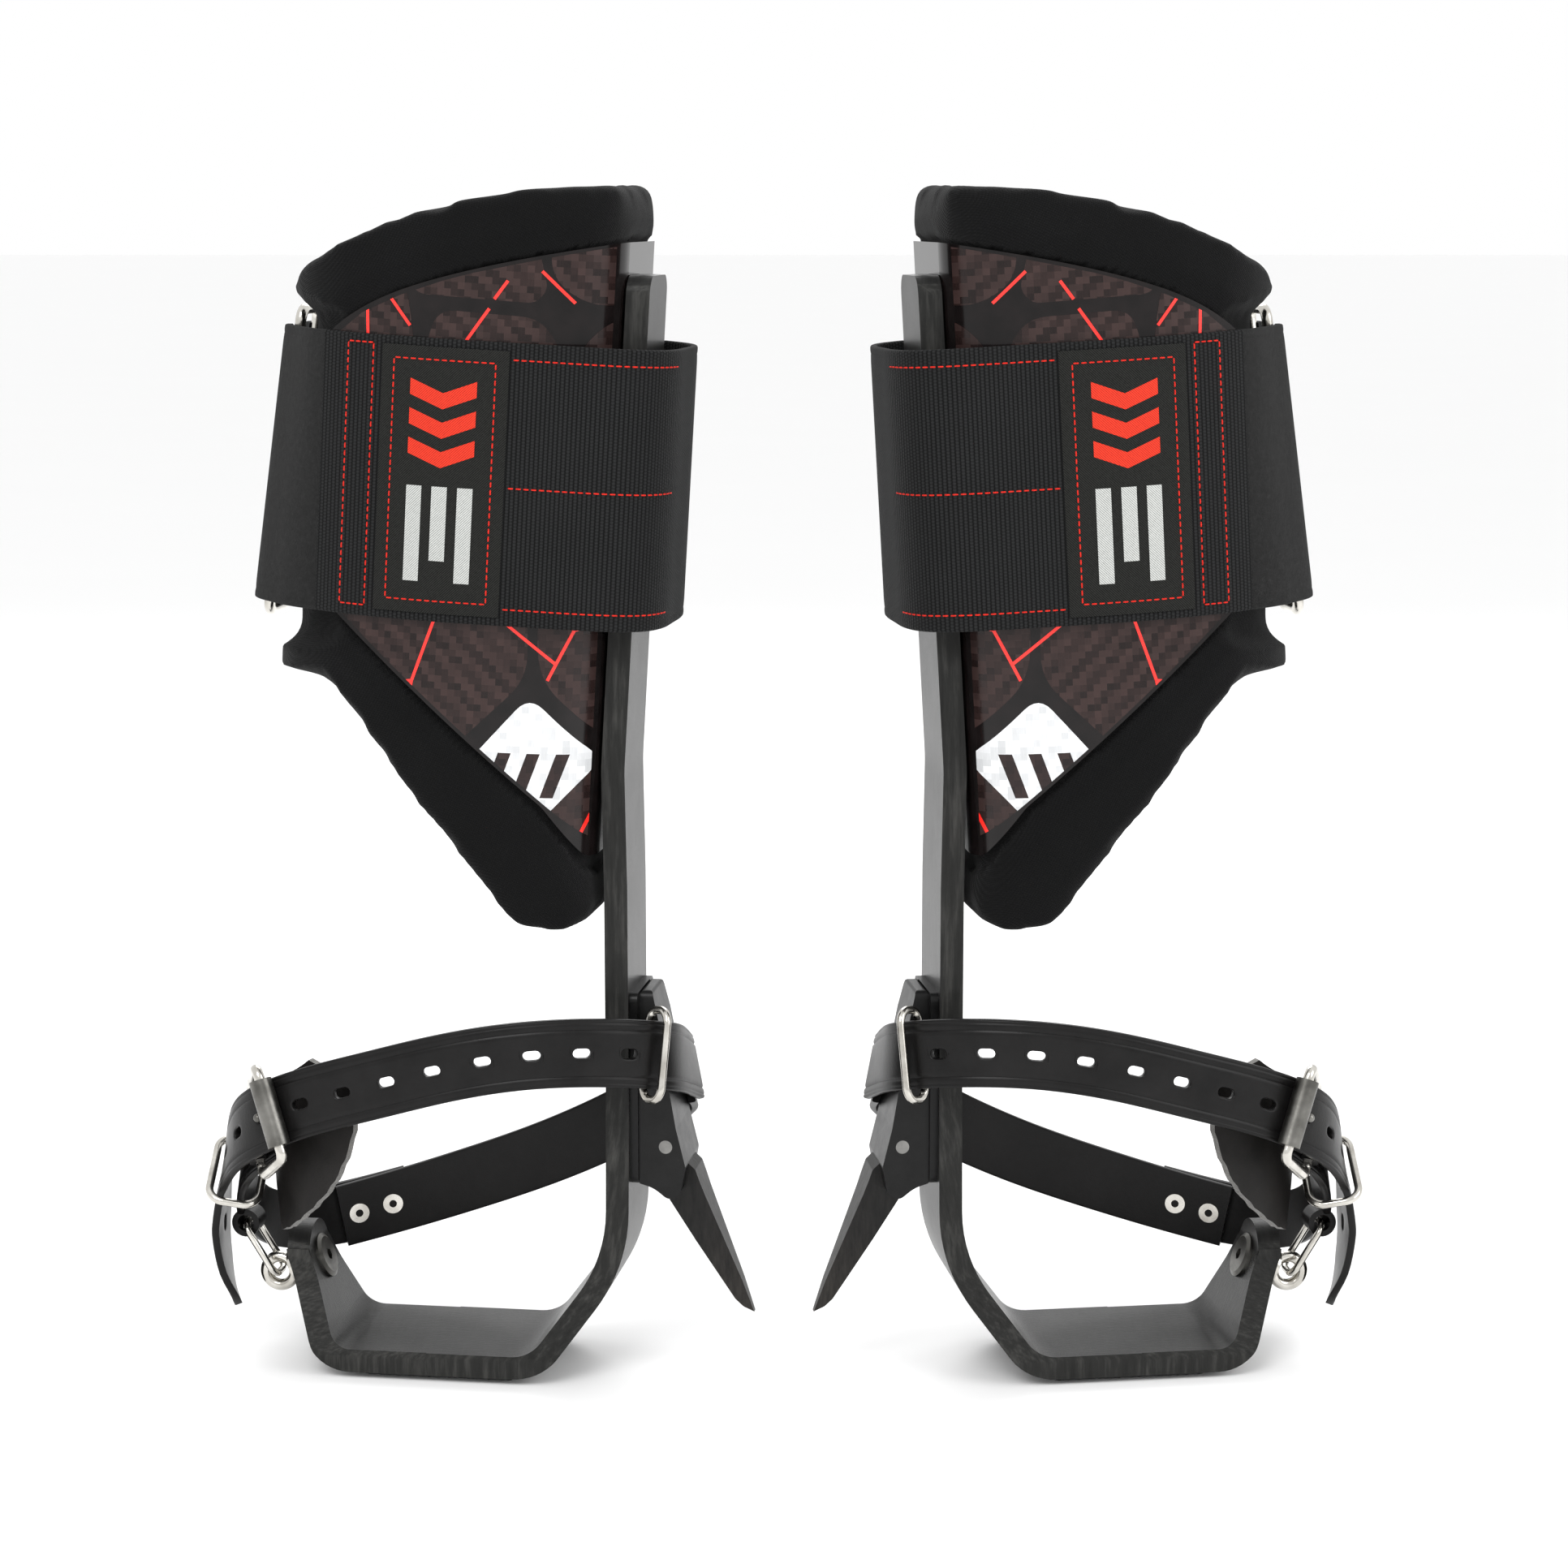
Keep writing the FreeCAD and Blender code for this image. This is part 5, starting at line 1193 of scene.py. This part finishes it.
def depth_below(point):
    """How far a point of the cuff's frame is below the shell's outer surface, and the way out."""
    a, v = point.x, point.y
    if v > CORNER_V and a > -SHELL_GAP - CORNER_RADIUS:
        return -SHELL_GAP - a, Vector((1.0, 0.0, 0.0))
    for centre, radius, first, last in ((CORNER_CENTRE, CORNER_RADIUS, -5.0, CORNER_END),
                                        (FRONT_CENTRE, FRONT_RADIUS, CORNER_END, FRONT_END),
                                        (SIDE_CENTRE, SIDE_RADIUS, FRONT_END, 200.0)):
        out = Vector((a - centre[0], v - centre[1], 0.0))
        angle = math.degrees(math.atan2(-out.y, out.x))
        if angle < -90.0:
            angle += 360.0
        if first <= angle <= last:
            return radius - out.length, out.normalized()
    return 50.0, Vector((0.0, 0.0, 0.0))


def swell(item, frames, pressure, cap):
    """Inflates a closed mesh with the cloth solver and applies the result."""
    cloth = item.modifiers.new("cloth", "CLOTH")
    cloth.settings.use_pressure = True
    cloth.settings.uniform_pressure_force = pressure
    cloth.settings.effector_weights.gravity = 0.0
    cloth.settings.quality = 4
    cloth.point_cache.frame_start = 1
    cloth.point_cache.frame_end = frames
    scene = bpy.context.scene
    for number in range(1, frames + 1):
        scene.frame_set(number)
    shaped = item.evaluated_get(bpy.context.evaluated_depsgraph_get()).data
    before = [vertex.co.copy() for vertex in item.data.vertices]
    after = [vertex.co.copy() for vertex in shaped.vertices]
    item.modifiers.remove(cloth)
    for vertex, old, new in zip(item.data.vertices, before, after):
        move = new - old
        vertex.co = old + move * min(1.0, cap / max(move.length, 1e-9))
    scene.frame_set(1)


def pad_shape():
    """Points in the cuff's frame and faces of the puffed pad, made from the model's pad."""
    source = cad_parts["left_cuff_pad"]
    mesh = source.data.copy()
    item = bpy.data.objects.new("pad_work", mesh)
    bpy.context.scene.collection.objects.link(item)
    remesh = item.modifiers.new("remesh", "REMESH")
    remesh.mode = "VOXEL"
    remesh.voxel_size = 0.0036
    smooth = item.modifiers.new("smooth", "SMOOTH")
    smooth.iterations = 10
    shaped = bpy.data.meshes.new_from_object(
        item.evaluated_get(bpy.context.evaluated_depsgraph_get()))
    item.modifiers.clear()
    item.data = shaped
    swell(item, 16, 3.0, 0.004)
    subdivide = item.modifiers.new("subdivide", "SUBSURF")
    subdivide.levels = 1
    finished = bpy.data.meshes.new_from_object(
        item.evaluated_get(bpy.context.evaluated_depsgraph_get()))
    into_cuff = (METRES @ CUFF).inverted()
    points = [into_cuff @ vertex.co for vertex in finished.vertices]
    faces = [tuple(polygon.vertices) for polygon in finished.polygons]
    bpy.data.objects.remove(item)
    for point in points:
        depth, out = depth_below(point)
        least = least_depth(point.x, point.z)
        if depth < least:
            point -= out * (least - depth)
    return points, faces


pad_points, pad_faces = pad_shape()
for pad in piece("cuff_pad", pad_points, pad_faces, COVER, CUFF, "cuff",
                 ["cuff_pad"], angle=180.0):
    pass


# ==== camera, light and floor ===============================================================

CAMERA_DISTANCE = 1280.0
CAMERA_PITCH = math.radians(9.5)
AIM_HEIGHT = 222.0
CAMERA_LENS = 79.3

camera_data = bpy.data.cameras.new("camera")
camera_data.sensor_width = 36.0
camera_data.lens = CAMERA_LENS
camera = bpy.data.objects.new("camera", camera_data)
camera.location = (0.0, 0.001 * (DEPTH_SHIFT - CAMERA_DISTANCE * math.cos(CAMERA_PITCH)),
                   0.001 * (AIM_HEIGHT + CAMERA_DISTANCE * math.sin(CAMERA_PITCH)))
camera.rotation_euler = (math.pi / 2 - CAMERA_PITCH, 0.0, 0.0)
bpy.context.scene.collection.objects.link(camera)
bpy.context.scene.camera = camera

world = bpy.data.worlds.new("studio")
world.use_nodes = True
background = world.node_tree.nodes["Background"]
background.inputs["Color"].default_value = (1.0, 1.0, 1.0, 1.0)
background.inputs["Strength"].default_value = 1.0
bpy.context.scene.world = world
bpy.context.scene.view_settings.view_transform = "Standard"


def soft_light(name, place, aim, size, power):
    """Square soft box."""
    light = bpy.data.lights.new(name, "AREA")
    light.energy = power
    light.size = size
    item = bpy.data.objects.new(name, light)
    item.location = place
    item.rotation_euler = (Vector(aim) - Vector(place)).to_track_quat("-Z", "Y").to_euler()
    bpy.context.scene.collection.objects.link(item)


soft_light("key", (-0.5, -1.3, 1.5), (0.0, 0.0, 0.25), 0.9, 15.0)
soft_light("fill", (1.3, -0.7, 0.9), (0.0, 0.0, 0.2), 1.0, 8.0)
soft_light("back", (0.0, 1.4, 1.4), (0.0, 0.0, 0.25), 1.2, 12.0)

floor_mesh = bpy.data.meshes.new("floor")
floor_mesh.from_pydata([(-30, -30, -0.0003), (30, -30, -0.0003), (30, 30, -0.0003),
                        (-30, 30, -0.0003)], [], [(0, 1, 2, 3)])
floor = bpy.data.objects.new("floor", floor_mesh)
bpy.context.scene.collection.objects.link(floor)
floor_nodes = Nodes("pale_floor", Roughness=0.6)
floor_mesh.materials.append(floor_nodes.finish(floor_nodes.ramp(
    floor_nodes.noise(floor_nodes.place(), 3.0), [(0.0, grey(0.945)), (1.0, grey(0.96))])))
